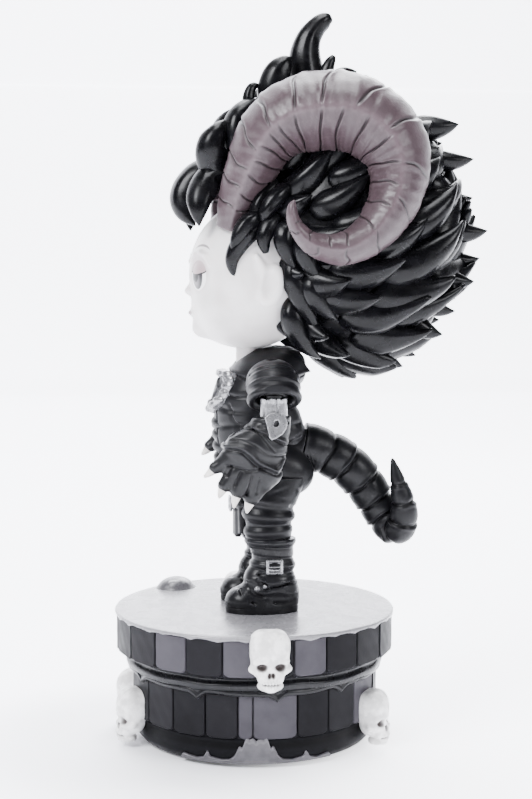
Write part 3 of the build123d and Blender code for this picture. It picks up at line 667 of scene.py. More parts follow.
# Hair -----------------------------------------------------------------------------------------------------------
def lock_mesh(path, normals, widths, thick, rows=26, columns=14, ridge=0.35):
    """A pointed lock: a leaf-shaped sheet with a raised middle line, hollow flanks and closed edges."""
    middle = curve_through(path, rows)
    up = unit(curve_through(normals, rows))
    wide = curve_through(np.asarray(widths, float)[:, None], rows)[:, 0]
    along = unit(np.gradient(middle, axis=0))
    up = unit(up - along * np.einsum("ij,ij->i", up, along)[:, None])
    across = np.cross(along, up)
    around = np.linspace(0, 2 * math.pi, columns, endpoint=False)
    c, s = np.cos(around), np.sin(around)
    height = np.where(s > 0, np.abs(s) ** 0.8, -np.abs(s) * 0.8)
    crest = ridge * np.exp(-((c / 0.22) ** 2)) * (s > 0)
    wide = np.maximum(wide, 0.02)
    tall = thick * (wide / wide.max()) ** 0.75
    points = middle[:, None] + (wide[:, None] * c)[..., None] * across[:, None]
    points = points + (tall[:, None] * (height + crest))[..., None] * up[:, None]
    droop = (wide[:, None] * c) ** 2 * 0.035
    points = points - droop[..., None] * up[:, None]
    return closed_tube(points, middle[0], middle[-1])


LOCK_WIDTHS = (0.7, 0.92, 1.0, 0.98, 0.88, 0.7, 0.43, 0.06)


def swept_lock(seat, towards, long, wide, lift, bend=0.0, sink=2.6, thick=3.0, curl=0.0):
    """A lock on the hair mass: rooted at a direction seat, flowing towards another, its tip raised by lift."""
    seat, towards = unit(seat), unit(towards)
    axis = unit(np.cross(seat, towards))
    side = np.cross(axis, seat)
    span = long / np.linalg.norm(HAIR_HALF * side)
    path, normals = [], []
    for t in np.linspace(0, 1, len(LOCK_WIDTHS)):
        a = (t - 0.25) * span
        u = unit(seat * math.cos(a) + side * math.sin(a) + axis * bend * t * t * span)
        normal = unit(u / HAIR_HALF)
        path.append(HAIR + HAIR_HALF * u + normal * (-sink * (1 - t) + lift * t**2.7))
        normals.append(unit(normal + curl * t * axis))
    return lock_mesh(path, normals, wide * np.array(LOCK_WIDTHS), thick, 28, 16, ridge=0.1)


HAIR_RINGS, FIRST_RING, RING_STEP, LOCKS_ROUND = 11, 22, 15.2, 16.5  # rings, their angles, and locks in the widest


def hair_locks():
    """Rings of overlapping crescents over the whole mass, thicker and more curled low at the sides and back."""
    made = []
    for ring in range(HAIR_RINGS):
        polar = math.radians(FIRST_RING + ring * RING_STEP)
        count = max(int(round(LOCKS_ROUND * math.sin(polar))), 5)
        for n in range(count):
            turned = 2 * math.pi * (n + 0.5 * (ring % 2) + rng.uniform(-0.22, 0.22)) / count
            p = polar + rng.uniform(-0.09, 0.09)
            u = np.array([math.sin(p) * math.cos(turned), -math.cos(p), math.sin(p) * math.sin(turned)])
            place = HAIR + HAIR_HALF * u
            jitter = rng.uniform(-1, 1, 5)
            low = smoothstep(0.35, -0.5, u[2]) * smoothstep(-0.5, 0.4, u[1])
            behind = smoothstep(0.1, 0.9, u[1])
            beside = smoothstep(0.2, 0.6, abs(u[0]))
            under = smoothstep(-0.35, -0.8, u[2])
            long = 14.5 + 3.5 * low + 1.5 * behind + 1.8 * jitter[0]
            wide = 5.2 + 0.9 * low + 0.5 * jitter[1]
            lift = 4.4 + 2.2 * low + 1.2 * behind + 1.5 * under + 2.0 * jitter[2]
            near_horn = abs(u[0]) > 0.45 and place[1] < 36 and place[2] > 134
            if (place[1] < 2.0 and place[2] < 150) or (abs(place[0]) < 10 and place[1] < 17 and place[2] < 120):
                continue
            if abs(place[0]) < 12 and place[1] < 6 and place[2] > 150 or place[1] < -2.0:
                continue
            if near_horn:
                lift, long, wide = 2.0 + 0.6 * jitter[2], min(long, 13.0), 4.6
            flow = np.array([0.25 * u[0], 1.0, 0.85 * u[2] - 0.5 * (1 - behind) * beside + 0.15 * jitter[3]])
            if u[1] > 0.9:
                flow = np.array([0.5 * u[0] + 0.4 * jitter[3], 0.3, u[2] + 0.35])
            flow -= u * (u @ flow)
            upward = np.sign(np.cross(u, flow)[2]) * (1 - behind * 0.35) * beside
            bend = 0.9 * upward * smoothstep(-1.0, -0.75, u[2]) + 0.22 * jitter[4]
            thick = 3.9 + 0.8 * low
            lock = swept_lock(u, unit(u + 0.9 * unit(flow)), long, wide, lift, bend, 3.2, thick,
                0.3 * jitter[3])
            made.append(lock)
    return joined(made)


def tucked(points):
    """The mass pulled in behind and its lower back corner drawn up."""
    y, z = points[:, 1].copy(), points[:, 2]
    away = smoothstep(138.0, 114.0, z) + 0.9 * smoothstep(154.0, 168.0, z)
    points[:, 1] -= 0.24 * np.maximum(y - 52.0, 0) + 0.3 * np.maximum(y - 46.0, 0) * away
    z += 0.3 * np.maximum(y - 34.0, 0) * smoothstep(128.0, 108.0, z)
    return points


hair_points, hair_faces = hair_locks()
hair_points = tucked(hair_points)

hair_core = Clay((-30, -6, 106), (30, 60, 181), 0.7)
hair_core.egg(HAIR, HAIR_HALF - 1.0)
hair_core.egg(HEAD, (18.8, 17.0, 19.0), dig=True)
hair_core.cut((0, 1.2, 150), (0, -1, 0.12))
core_points, core_faces = hair_core.skin()
core_points = tucked(core_points)


def free_lock(line, wide, thick, face, widths):
    """A lock along its own line of points, its broad side facing a direction."""
    path = curve_through(line, len(widths))
    normals = [unit(face)] * len(widths)
    return lock_mesh(path, normals, wide * np.array(widths), thick, 40, 20, ridge=0.12)


PETAL = (0.5, 0.85, 1.0, 1.0, 0.9, 0.7, 0.42, 0.04)
BLUNT = (0.8, 0.95, 1.0, 0.95, 0.85, 0.72, 0.58, 0.32)
CREST = [
    (0, 15.6, 179.0), (0, 15.4, 184.6), (0, 14.6, 190.0), (0, 14.7, 195.4), (0, 16.9, 199.8), (0, 19.6, 202.3),
    (0, 21.6, 203.4),
]
FRINGE = [
    # line, half width, thickness, facing, widths
    ([(0.5, -6.0, 160.0), (-0.6, -14.5, 159.6), (-0.6, -19.6, 154.6), (1.4, -19.6, 149.2), (4.2, -17.0, 145.0)],
    5.2, 3.4, (0.7, -0.7, 0.3), PETAL),
    ([(6.6, -6.2, 158.6), (7.8, -12.6, 158.0), (10.2, -15.8, 153.6), (12.0, -16.6, 149.2),
    (12.4, -16.4, 144.6)], 4.4, 2.6, (0.9, -0.4, 0.2), PETAL),
    ([(-7.6, -6.2, 158.8), (-9.0, -12.9, 157.6), (-10.6, -16.6, 153.2), (-9.4, -17.6, 148.8),
    (-5.6, -17.6, 144.0)], 4.8, 2.8, (-0.8, -0.6, 0.2), PETAL),
    ([(5.6, -5.0, 157.0), (6.6, -11.2, 160.6), (8.4, -13.0, 166.0), (8.6, -11.2, 170.4), (7.0, -8.8, 173.8)],
    4.6, 3.0, (0.9, -0.4, 0.2), PETAL),
    ([(-5.8, -4.6, 158.0), (-8.0, -10.4, 161.4), (-10.4, -12.2, 166.4), (-11.8, -10.0, 170.6),
    (-11.0, -7.4, 173.4)], 4.6, 3.0, (-0.8, -0.5, 0.2), PETAL),
    ([(-1.0, -3.0, 162.0), (-2.2, -8.0, 166.0), (-1.6, -8.8, 171.2), (0.8, -6.6, 175.2), (3.2, -3.6, 177.4)],
    4.8, 3.2, (0.1, -0.9, 0.4), PETAL),
    ([(6.6, -2.0, 162.6), (7.4, -5.2, 168.2), (7.0, -5.0, 173.6), (5.4, -2.0, 177.2), (3.4, 2.2, 178.6)], 4.7,
    3.6, (0.9, -0.4, 0.3), BLUNT),
    ([(-6.8, -1.0, 164.0), (-8.4, -4.0, 169.6), (-10.0, -3.4, 174.6), (-11.2, 0.0, 178.0), (-12.0, 4.0, 179.6)],
    4.7, 3.6, (-0.8, -0.4, 0.4), BLUNT),
    ([(4.4, 1.0, 173.0), (4.4, -1.6, 177.4), (4.3, -1.9, 180.8), (4.2, -1.0, 183.2), (4.0, 0.6, 183.8)], 1.9,
    1.7, (0.9, -0.2, 0.2), BLUNT),
    ([(-5.2, 4.0, 175.0), (-6.4, 2.2, 179.6), (-7.8, 2.6, 182.8), (-9.6, 4.6, 185.0)], 2.4, 2.0,
    (-0.8, -0.2, 0.3), PETAL),
]
TOP_LOCKS = [
    (CREST, 5.2, 4.2, (1.0, 0.0, 0.1), (1.0, 1.0, 0.96, 0.84, 0.68, 0.55, 0.45, 0.24)),
    ([(4.4, 8.0, 176.0), (4.6, 4.6, 181.0), (4.8, 5.6, 186.4), (4.8, 8.0, 189.8), (4.6, 10.0, 191.6)], 4.2, 2.8,
    (1.0, -0.2, 0.2), PETAL),
    ([(-5.0, 9.0, 176.0), (-5.4, 6.6, 181.6), (-5.8, 7.8, 186.4), (-6.2, 11.2, 189.4)], 4.2, 2.8,
    (-0.9, -0.2, 0.3), PETAL),
    ([(2.4, 19.0, 180.0), (2.4, 19.6, 185.6), (2.2, 20.8, 189.8), (2.0, 22.2, 192.4)], 2.2, 2.0,
    (1.0, 0.1, 0.1), BLUNT),
    ([(-2.0, 22.0, 178.0), (-2.2, 22.6, 184.0), (-2.4, 25.4, 187.8), (-2.8, 29.6, 188.8)], 3.6, 2.6,
    (-0.2, 0.5, 0.8), PETAL),
    ([(6.4, 24.0, 176.0), (7.4, 25.4, 181.6), (8.4, 29.0, 184.4), (9.6, 33.4, 184.2)], 3.6, 2.6,
    (0.6, 0.2, 0.8), PETAL),
    ([(-8.6, 20.0, 176.0), (-9.6, 21.4, 181.4), (-10.6, 25.0, 184.2), (-11.6, 29.4, 184.2)], 3.6, 2.6,
    (-0.6, 0.2, 0.8), PETAL),
]
SIDE_LOCKS = [
    ([(17.6, 1.6, 145.0), (18.6, -3.2, 142.4), (18.6, -6.8, 138.2), (18.0, -7.9, 133.8), (17.4, -6.0, 129.2)],
    2.5, 2.4, (1.0, -0.3, 0.0), PETAL),
    ([(18.2, 0.6, 147.4), (19.8, -3.6, 145.4), (20.3, -6.6, 141.4), (19.6, -8.2, 137.6)], 2.5, 2.2,
    (1.0, -0.3, 0.2), PETAL),
    ([(15.0, 4.4, 156.0), (16.6, 1.4, 153.0), (17.6, -0.8, 149.6), (17.8, -1.6, 146.0)], 2.8, 2.4,
    (1.0, -0.3, 0.1), BLUNT),
    ([(19.0, 4.0, 146.6), (20.6, 1.8, 144.2), (21.2, 0.4, 140.8), (20.6, 1.0, 137.2)], 2.6, 2.2,
    (1.0, -0.1, 0.1), BLUNT),
    ([(19.2, 6.8, 154.6), (20.9, 3.6, 151.8), (21.3, 1.2, 148.6), (20.6, 0.2, 145.8)], 2.6, 2.2,
    (1.0, -0.2, 0.1), BLUNT),
    ([(19.6, 8.6, 146.0), (22.0, 6.0, 142.0), (22.4, 6.6, 137.2), (21.6, 9.4, 132.0)], 3.0, 2.4,
    (1.0, 0.0, 0.0), PETAL),
    ([(19.4, 8.6, 137.0), (20.8, 8.2, 131.0), (20.8, 10.2, 125.6), (19.8, 13.0, 120.4), (18.6, 15.8, 115.4)],
    3.1, 2.2, (1.0, -0.2, -0.1), PETAL),
    ([(16.6, 8.8, 125.0), (18.4, 8.2, 120.4), (18.0, 9.8, 115.4), (16.6, 13.0, 111.2), (14.6, 17.0, 108.2)],
    3.2, 2.4, (0.9, -0.3, -0.3), PETAL),
    ([(21.0, 12.0, 144.6), (23.6, 11.0, 139.4), (23.8, 12.6, 134.0), (22.6, 16.6, 129.4)], 3.2, 2.4,
    (1.0, 0.0, 0.0), PETAL),
    ([(20.6, 13.6, 132.0), (22.4, 13.6, 127.0), (21.8, 16.6, 122.4), (20.0, 20.8, 119.0)], 3.2, 2.4,
    (1.0, -0.1, -0.1), PETAL),
]


BACK_TIPS = [
    # y and z of a tip, the way it points in degrees above +Y, and how far it hooks upwards
    (57.0, 173.4, 14, 22), (60.2, 163.4, 12, 26), (61.5, 153.0, 16, 36), (64.6, 143.6, 14, 40),
    (63.6, 136.0, 18, 48),
    (60.6, 129.4, 6, 46), (56.6, 121.0, 2, 52), (51.8, 114.6, -6, 50), (45.6, 108.4, -16, 44),
    (37.0, 105.8, -26, 34),
]


def back_spikes():
    """Crescents standing out all down the back, each hooking up to its tip."""
    made = []
    for n, (y, z, points_up, hook) in enumerate(BACK_TIPS):
        for side in (1, -1):
            x = side * (5.0 + 5.0 * (n % 2) + rng.uniform(-1.0, 1.0))
            place = np.array([x + side * 1.2, y, z])
            if side < 0:
                place -= (0, 1.5, rng.uniform(2.0, 5.0))
            line = [place]
            for share in np.linspace(0.1, 1.0, 5):
                angle = math.radians(points_up - hook * share * rng.uniform(0.9, 1.1))
                place = place - 3.0 * np.array([side * 0.16, math.cos(angle), math.sin(angle)])
                line.append(place)
            made.append(free_lock(line[::-1], 3.3 + rng.uniform(-0.4, 0.4), 2.9, (side, 0.1, 0.2), PETAL))
    return joined(made)


def hair_finish():
    finish = Finish("hair_black", 0.24, specular=0.15)
    along = finish.noise(2.2, 4.0, stretch=(1, 2.4, 1), contrast=(0.4, 0.7))
    tone = finish.mix((0.0015, 0.0015, 0.002), (0.004, 0.004, 0.005), along)
    finish.colour(tone)
    finish.gloss(finish.noise(4.0, 3.0), 0.18, 0.34)
    finish.bump(finish.noise(1.5, 3.0, stretch=(1, 2.0, 1)), 0.05)
    return finish


hair_black = hair_finish()
add_mesh("hair_locks", hair_points, hair_faces, "head", ["hair_back"], hair_black, "black_gloss")
add_mesh("hair_core", core_points, core_faces, "head", ["hair_back"], hair_black, "black_gloss")
side_points, side_faces = joined([free_lock(*row) for row in SIDE_LOCKS])
for name, node, (points, faces) in (
    ("fringe_locks", "hair_fringe", joined([free_lock(*row) for row in FRINGE])),
    ("crest_locks", "hair_crest", joined([free_lock(*row) for row in TOP_LOCKS])),
    ("back_spikes", "hair_back", back_spikes()),
    ("side_locks_left", "hair_side_lock_left", (side_points, side_faces)),
    ("side_locks_right", "hair_side_lock_right", flipped(side_points, side_faces)),
):
    add_mesh(name, points, faces, "head", [node], hair_black, "black_gloss")


# Base -----------------------------------------------------------------------------------------------------------
LOWER_RADIUS, WAIST_RADIUS, UPPER_RADIUS, BAND_RADIUS, FOOT_RADIUS = 35.2, 36.9, 39.7, 34.3, 32.9
BAND_TOP, LOWER_TOP, WAIST_TOP, DRUM_TOP, TOP_Z = 7.4, 19.0, 25.4, 35.1, 36.3
UPPER_SEAMS = [
    -82.5, -64.6, -48.4, -33.3, -18.2, -4.0, 9.6, 23.3, 38.8, 55.0, 74.0, 90.5, 104.0, 121.0, 135.5, 152.0,
    166.0, 182.0, 197.5, 211.5, 228.0, 243.0, 260.0,
]
UPPER_LIGHT = (-48.4, -18.2, 9.6, 104.0, 152.0, 197.5)
LOWER_SEAMS = [
    -82.0, -62.0, -44.8, -28.0, -13.1, -6.5, 13.4, 29.1, 45.7, 66.0, 84.0, 101.0, 118.0, 137.0, 152.5, 171.0,
    188.0, 205.0, 222.0, 240.0, 259.0,
]
LOWER_LIGHT = (-13.1, -6.5, 45.7, 118.0, 171.0, 222.0)


def wavy(angle, seed, high=1.0, waves=(3, 5, 8, 13, 21)):
    """A closed irregular wave round the base, from about -high to high."""
    phase = np.random.default_rng(seed).uniform(0, 2 * math.pi, len(waves))
    total = sum(np.sin(np.radians(angle) * n + p) / (k + 1) ** 0.6 for k, (n, p) in enumerate(zip(waves, phase)))
    return high * total / 2.6


def ring_solid(angle, radii, heights):
    """A hoop whose section, given as rows of radius and height for each angle, goes right round."""
    a = np.radians(angle)
    points = np.stack([radii * np.cos(a), radii * np.sin(a), heights], axis=-1).reshape(-1, 3)
    rows, columns = radii.shape
    row, column = np.arange(rows)[:, None], np.arange(columns)[None, :]
    below, after = (row + 1) % rows, (column + 1) % columns
    quads = np.stack([row * columns + column, row * columns + after, below * columns + after,
        below * columns + column], axis=-1)
    return points, quads.reshape(-1, 4)


def stave_ring(seams, light, radius, low, high, columns=2160, rows=64):
    """Staves with rounded lower corners standing round a drum, with which are light and where the gaps are."""
    angle = np.arange(columns) * 360 / columns - 90
    edges = np.array(seams + [seams[0] + 360])
    shifted = (angle - edges[0]) % 360 + edges[0]
    index = np.clip(np.searchsorted(edges, shifted, side="right") - 1, 0, len(edges) - 2)
    middle, half = (edges[index] + edges[index + 1]) / 2, (edges[index + 1] - edges[index]) / 2
    across = np.radians(shifted - middle)
    to_edge = radius * (np.radians(half) - np.abs(across))
    facet = radius * (np.cos(np.radians(half)) / np.cos(across) - 1) * 0.6
    z = np.linspace(low, high, rows)[:, None]
    corner = 1.5
    dx, dz = np.maximum(corner - to_edge, 0)[None, :], np.maximum(corner - (z - low), 0)
    inside = corner - np.hypot(dx, dz)
    inside = np.where((dx > 0) & (dz > 0), inside, np.minimum(to_edge[None, :], (z - low) + 0.25))
    stand = smoothstep(0.0, 0.4, inside)
    grain = np.random.default_rng(5).uniform(-0.12, 0.12, len(edges))[index]
    lumps = 0.02 * np.sin(z * 1.3 + index * 2.0) + 0.015 * np.sin(shifted * 0.9 + z)
    outer = radius - 0.75 + stand * (0.75 + facet + grain + lumps)
    radii = np.concatenate([np.broadcast_to(outer, (rows, columns)), np.full((2, columns), radius - 3.0)])
    heights = np.concatenate([np.broadcast_to(z, (rows, columns)), np.full((1, columns), high),
        np.full((1, columns), low)])
    points, quads = ring_solid(np.broadcast_to(angle, radii.shape), radii, heights)
    is_light = np.isin(edges[index], light).astype(float)
    tint = np.concatenate([np.broadcast_to(is_light, (rows, columns)), np.zeros((2, columns))])
    gap = np.concatenate([1 - smoothstep(0.02, 0.3, inside), np.ones((2, columns))])
    shade = np.random.default_rng(8).uniform(0, 1, len(edges))[index]
    shade = np.concatenate([np.broadcast_to(shade, (rows, columns)), np.zeros((2, columns))])
    return points, quads, {"tint": tint, "gap": gap, "shade": shade}


def stave_finish():
    finish = Finish("base_staves", 0.42, specular=0.03)
    cloud = finish.noise(8.0, 4.0, contrast=(0.35, 0.65))
    dark = finish.mix((0.0062, 0.0061, 0.007), (0.0112, 0.0108, 0.0124), finish.read("shade"))
    light = finish.mix((0.043, 0.0405, 0.047), (0.06, 0.0565, 0.065), cloud)
    tone = finish.mix(dark, light, finish.read("tint"))
    tone = finish.mix(tone, (0.02, 0.02, 0.022), finish.times(cloud, 0.15))
    tone = finish.mix(tone, (0.0022, 0.0022, 0.0028), finish.times(finish.read("gap"), 0.8))
    finish.colour(tone)
    finish.gloss(finish.noise(5.0, 3.0), 0.3, 0.45)
    finish.bump(finish.noise(0.9, 3.0), 0.03)
    return finish


base_staves = stave_finish()
for name, node, seams, light, radius, low, high in (
    ("upper_staves", "base_upper_drum", UPPER_SEAMS, UPPER_LIGHT, UPPER_RADIUS, WAIST_TOP, DRUM_TOP + 0.1),
    ("lower_staves", "base_lower_drum", LOWER_SEAMS, LOWER_LIGHT, LOWER_RADIUS, BAND_TOP, LOWER_TOP + 0.4),
):
    points, quads, marks = stave_ring(seams, light, radius, low, high)
    add_mesh(name, points, quads, "figure", [node], base_staves, "base_charcoal", **marks)

around = np.arange(1440) * 0.25 - 90


def bumps_at(angle, places):
    """Pointed runs at (angle, half width in degrees, length)."""
    total = np.zeros_like(angle)
    for place, half, long in places:
        away = np.abs((angle - place + 180) % 360 - 180) / half
        total = np.maximum(total, long * np.clip(1 - away, 0, 1) ** 1.4)
    return total


# Black band at the foot.
section = [
    (FOOT_RADIUS - 5, 0.0), (FOOT_RADIUS - 0.4, 0.0), (FOOT_RADIUS, 0.25), (FOOT_RADIUS + 0.9, 1.3),
    (BAND_RADIUS, 2.2), (BAND_RADIUS + 0.1, 4.0), (BAND_RADIUS - 0.2, 5.6), (BAND_RADIUS + 0.1, 6.9),
    (BAND_RADIUS - 0.5, BAND_TOP + 0.3), (FOOT_RADIUS - 5, BAND_TOP + 0.3),
]
radii = np.array([r for r, z in section])[:, None] + np.where(np.arange(10)[:, None] % 9 > 1,
    wavy(around, 3, 0.12), 0)
heights = np.broadcast_to(np.array([z for r, z in section])[:, None], radii.shape).copy()
points, quads = ring_solid(np.broadcast_to(around, radii.shape), radii, heights)
foot_black = painted("foot_black", (0.0026, 0.0026, 0.003), (0.001, 0.001, 0.0013), (0.008, 0.008, 0.0095), 0.4,
    grain=0.02, specular=0.04)
add_mesh("foot_band", points, quads, "figure", ["base_bottom_plate"], foot_black, "base_black",
         hollow=hollowness(points, quads, 3))

# Black ooze round the waist, with a rolled lower edge and drips.
DRIPS = [
    (-31, 4.5, 3.0), (4, 4.0, 2.6), (35, 4.5, 2.8), (-66, 4.5, 2.4), (84, 5, 2.8), (140, 5, 3.0),
    (186, 4.5, 2.6), (222, 5, 3.1),
]
lip = LOWER_TOP + 0.5 + wavy(around, 21, 0.55) - 0.55 * bumps_at(around, DRIPS)
fold = 0.45 * wavy(around, 22, 1.0)
ooze = [
    (LOWER_RADIUS - 3, 19.0), (LOWER_RADIUS - 0.2, lip + 0.35), (LOWER_RADIUS + 0.45, lip),
    (LOWER_RADIUS + 1.0, lip + 0.25), (LOWER_RADIUS + 1.25, lip + 0.8), (LOWER_RADIUS + 1.05, lip + 1.4),
    (LOWER_RADIUS + 0.9, (lip + 20.6) / 2 + 0.9), (WAIST_RADIUS - 0.3, 21.0 + fold),
    (WAIST_RADIUS, 21.8 + fold), (WAIST_RADIUS - 0.1, 22.6 + fold), (WAIST_RADIUS - 0.8, 23.2 + fold),
    (WAIST_RADIUS - 0.9, 23.9 + fold * 0.5), (WAIST_RADIUS - 0.1, 24.6), (WAIST_RADIUS + 0.6, 25.2),
    (WAIST_RADIUS + 0.7, 25.6), (LOWER_RADIUS - 3, 25.6),
]
knots_r = np.array([np.broadcast_to(r, around.shape) for r, z in ooze], float)
knots_z = np.array([np.broadcast_to(z, around.shape) for r, z in ooze], float)
knots_r[2:-2] += wavy(around, 23, 0.18)
fine = curve_through(np.concatenate([knots_r[1:-1], knots_z[1:-1]], axis=1), 50)
radii = np.concatenate([knots_r[:1], fine[:, : len(around)], knots_r[-1:]])
heights = np.concatenate([knots_z[:1], fine[:, len(around) :], knots_z[-1:]])
points, quads = ring_solid(np.broadcast_to(around, radii.shape), radii, heights)
add_mesh("waist_ooze", points, quads, "figure", ["base_waist"], black_gloss, "base_black",
         hollow=hollowness(points, quads, 3))

# Grey top that runs a little over the rim.
rim = UPPER_RADIUS + 0.25
RUNS = [
    (-76, 3, 0.7), (-66, 4, 1.1), (-52, 6, 1.0), (-44, 3, 0.6), (-31, 4, 1.0), (-20, 5, 0.8), (-9, 3, 0.6),
    (6, 3, 0.7), (16, 6, 1.1), (27, 3, 0.6), (37, 4, 1.0), (50, 5, 1.3), (62, 3, 0.6), (71, 5, 1.0),
    (90, 6, 1.0), (104, 3, 0.7), (127, 6, 1.2), (150, 4, 0.9), (171, 5, 1.1), (196, 4, 0.8), (218, 6, 1.2),
    (243, 4, 0.8), (262, 5, 1.0),
]
run = DRUM_TOP + 0.3 - bumps_at(around, RUNS) * 0.62 + wavy(around, 31, 0.24, (5, 9, 17, 29, 43))
flat_rows = np.linspace(0.02, 1, 24)
cap_r, cap_z = [], []
for share in flat_rows:
    reach = share * (rim - 0.55)
    cap_r.append(np.full_like(around, reach))
    swell = 0.07 * np.sin(reach * 0.35 + np.radians(around) * 2)
    swell = swell + 0.06 * np.sin(np.radians(around) * 3 + reach * 0.21)
    cap_z.append(TOP_Z + swell * smoothstep(0.72, 0.85, share) * 0.8)
for r, z in ((rim - 0.15, TOP_Z - 0.12), (rim + 0.1, TOP_Z - 0.45), (rim + 0.12, (TOP_Z - 0.6 + run) / 2),
        (rim + 0.05, run + 0.15), (rim - 0.15, run)):
    cap_r.append(np.full_like(around, r) + wavy(around, 33, 0.06))
    cap_z.append(np.broadcast_to(z, around.shape))
cap_r += [np.full_like(around, UPPER_RADIUS - 1.2), np.full_like(around, 0.02 * rim)]
cap_z += [np.full_like(around, DRUM_TOP - 0.2), np.full_like(around, DRUM_TOP - 0.2)]
radii, heights = np.array(cap_r), np.array(cap_z, float)
points, quads = ring_solid(np.broadcast_to(around, radii.shape), radii, heights)
quads = quads[:, ::-1]
add_mesh("base_top", points, quads, "figure", ["base_top_cap"], base_grey, "base_grey")

# Dome on the far front edge, with a soft puddle edge.
dome = Clay((-36, -30, 34.5), (-18, -12, 41), 0.2)
DOME_REACH, DOME_ANGLE = 34.5, -142
dome_place = np.array([
    DOME_REACH * math.cos(math.radians(DOME_ANGLE)), DOME_REACH * math.sin(math.radians(DOME_ANGLE)),
    TOP_Z - 0.3,
])
dome.egg(dome_place, (5.0, 6.0, 3.6), (0, 0, DOME_ANGLE))
dome.egg(dome_place + (0, 0, -0.2), (6.0, 7.2, 0.9), (0, 0, DOME_ANGLE), soft=1.2)
dome.cut((0, 0, TOP_Z - 0.15), (0, 0, -1))
points, quads = dome.skin()
dome_grey = painted("dome_grey", (0.09, 0.088, 0.095), (0.03, 0.03, 0.032), (0.2, 0.198, 0.21), 0.26, coat=0.2,
    blotch=3.0, grain=0.02)
add_mesh("base_dome_piece", points, quads, "figure", ["base_dome"], dome_grey, "base_charcoal",
         hollow=hollowness(points, quads))


def sector(angles, low, high, inner, outer, rows=14):
    """A thin curved wall between two heights that change with the angle; its outer face is softly rounded."""
    share = np.linspace(0, 1, rows)[:, None]
    heights = low + (high - low) * share
    edge = np.minimum(np.minimum(share, 1 - share) * np.abs(high - low), 0.5)
    radii = inner + (outer(heights) - inner) * (0.45 + 0.55 * smoothstep(0, 0.5, edge))
    back = np.broadcast_to(inner, heights.shape)
    radii, heights = np.concatenate([radii, back[::-1]]), np.concatenate([heights, heights[::-1]])
    a = np.radians(angles)
    points = np.stack([radii * np.cos(a), radii * np.sin(a), heights], axis=-1)
    count, columns = radii.shape
    points = points.reshape(-1, 3)
    row, column = np.arange(count)[:, None], np.arange(columns - 1)[None, :]
    below = (row + 1) % count
    quads = np.stack([row * columns + column, row * columns + column + 1, below * columns + column + 1,
        below * columns + column], axis=-1)
    quads = quads.reshape(-1, 4)
    half = count // 2
    ends = []
    for column, order in ((0, 1), (columns - 1, -1)):
        for r in range(half - 1):
            quad = [
                r * columns + column, (r + 1) * columns + column, (count - 2 - r) * columns + column,
                (count - 1 - r) * columns + column,
            ]
            ends.append(quad[::order])
    return points, np.concatenate([quads, np.array(ends)])


TRIM_EDGE = [
    (-42, 0.7), (-40, 2.3), (-38, 2.0), (-33, 1.5), (-29, 2.2), (-27.4, 4.2), (-26.2, 2.4), (-21, 1.7),
    (-17, 2.0), (-14.6, 3.2), (-13.4, 4.9), (-12.4, 5.9), (-11.4, 4.9), (-10.4, 6.6), (-9.6, 8.7), (-8.2, 7.6),
    (-6.4, 8.2), (-5.0, 7.0), (-3.4, 8.2), (-1.6, 7.6), (-0.2, 8.7), (0.6, 6.6), (1.6, 4.9), (2.6, 5.9),
    (3.6, 4.9), (4.8, 3.2), (7.2, 2.0), (11.5, 1.7), (16.6, 2.4), (17.9, 4.2), (19.5, 2.2), (23.5, 1.5),
    (28, 2.0), (30, 2.3), (32, 0.7),
]
trim_angles = np.linspace(-42, 32, 400)
trim_high = np.interp(trim_angles, [a for a, z in TRIM_EDGE], [z for a, z in TRIM_EDGE])
trim_high = np.convolve(np.pad(trim_high, 3, mode="edge"), np.ones(7) / 7, mode="valid")
TRIM_FACE = ([0, 0.6, 2.2, 9.0], [FOOT_RADIUS + 0.9, FOOT_RADIUS + 1.4, BAND_RADIUS + 0.75, BAND_RADIUS + 0.75])
points, quads = sector(trim_angles, np.zeros_like(trim_angles), trim_high, FOOT_RADIUS - 0.6,
    lambda z: np.interp(z, *TRIM_FACE))
sign = np.einsum("ij,ij->i", points[quads[:, 0]], np.cross(points[quads[:, 1]], points[quads[:, 2]])).sum()
for hand, points, quads in both_hands(points, quads if sign > 0 else quads[:, ::-1]):
    add_mesh(f"foot_trim_piece_{hand}", points, quads, "figure", [f"foot_trim_{hand}"], trim_grey, "trim_grey",
             hollow=hollowness(points, quads, 4))


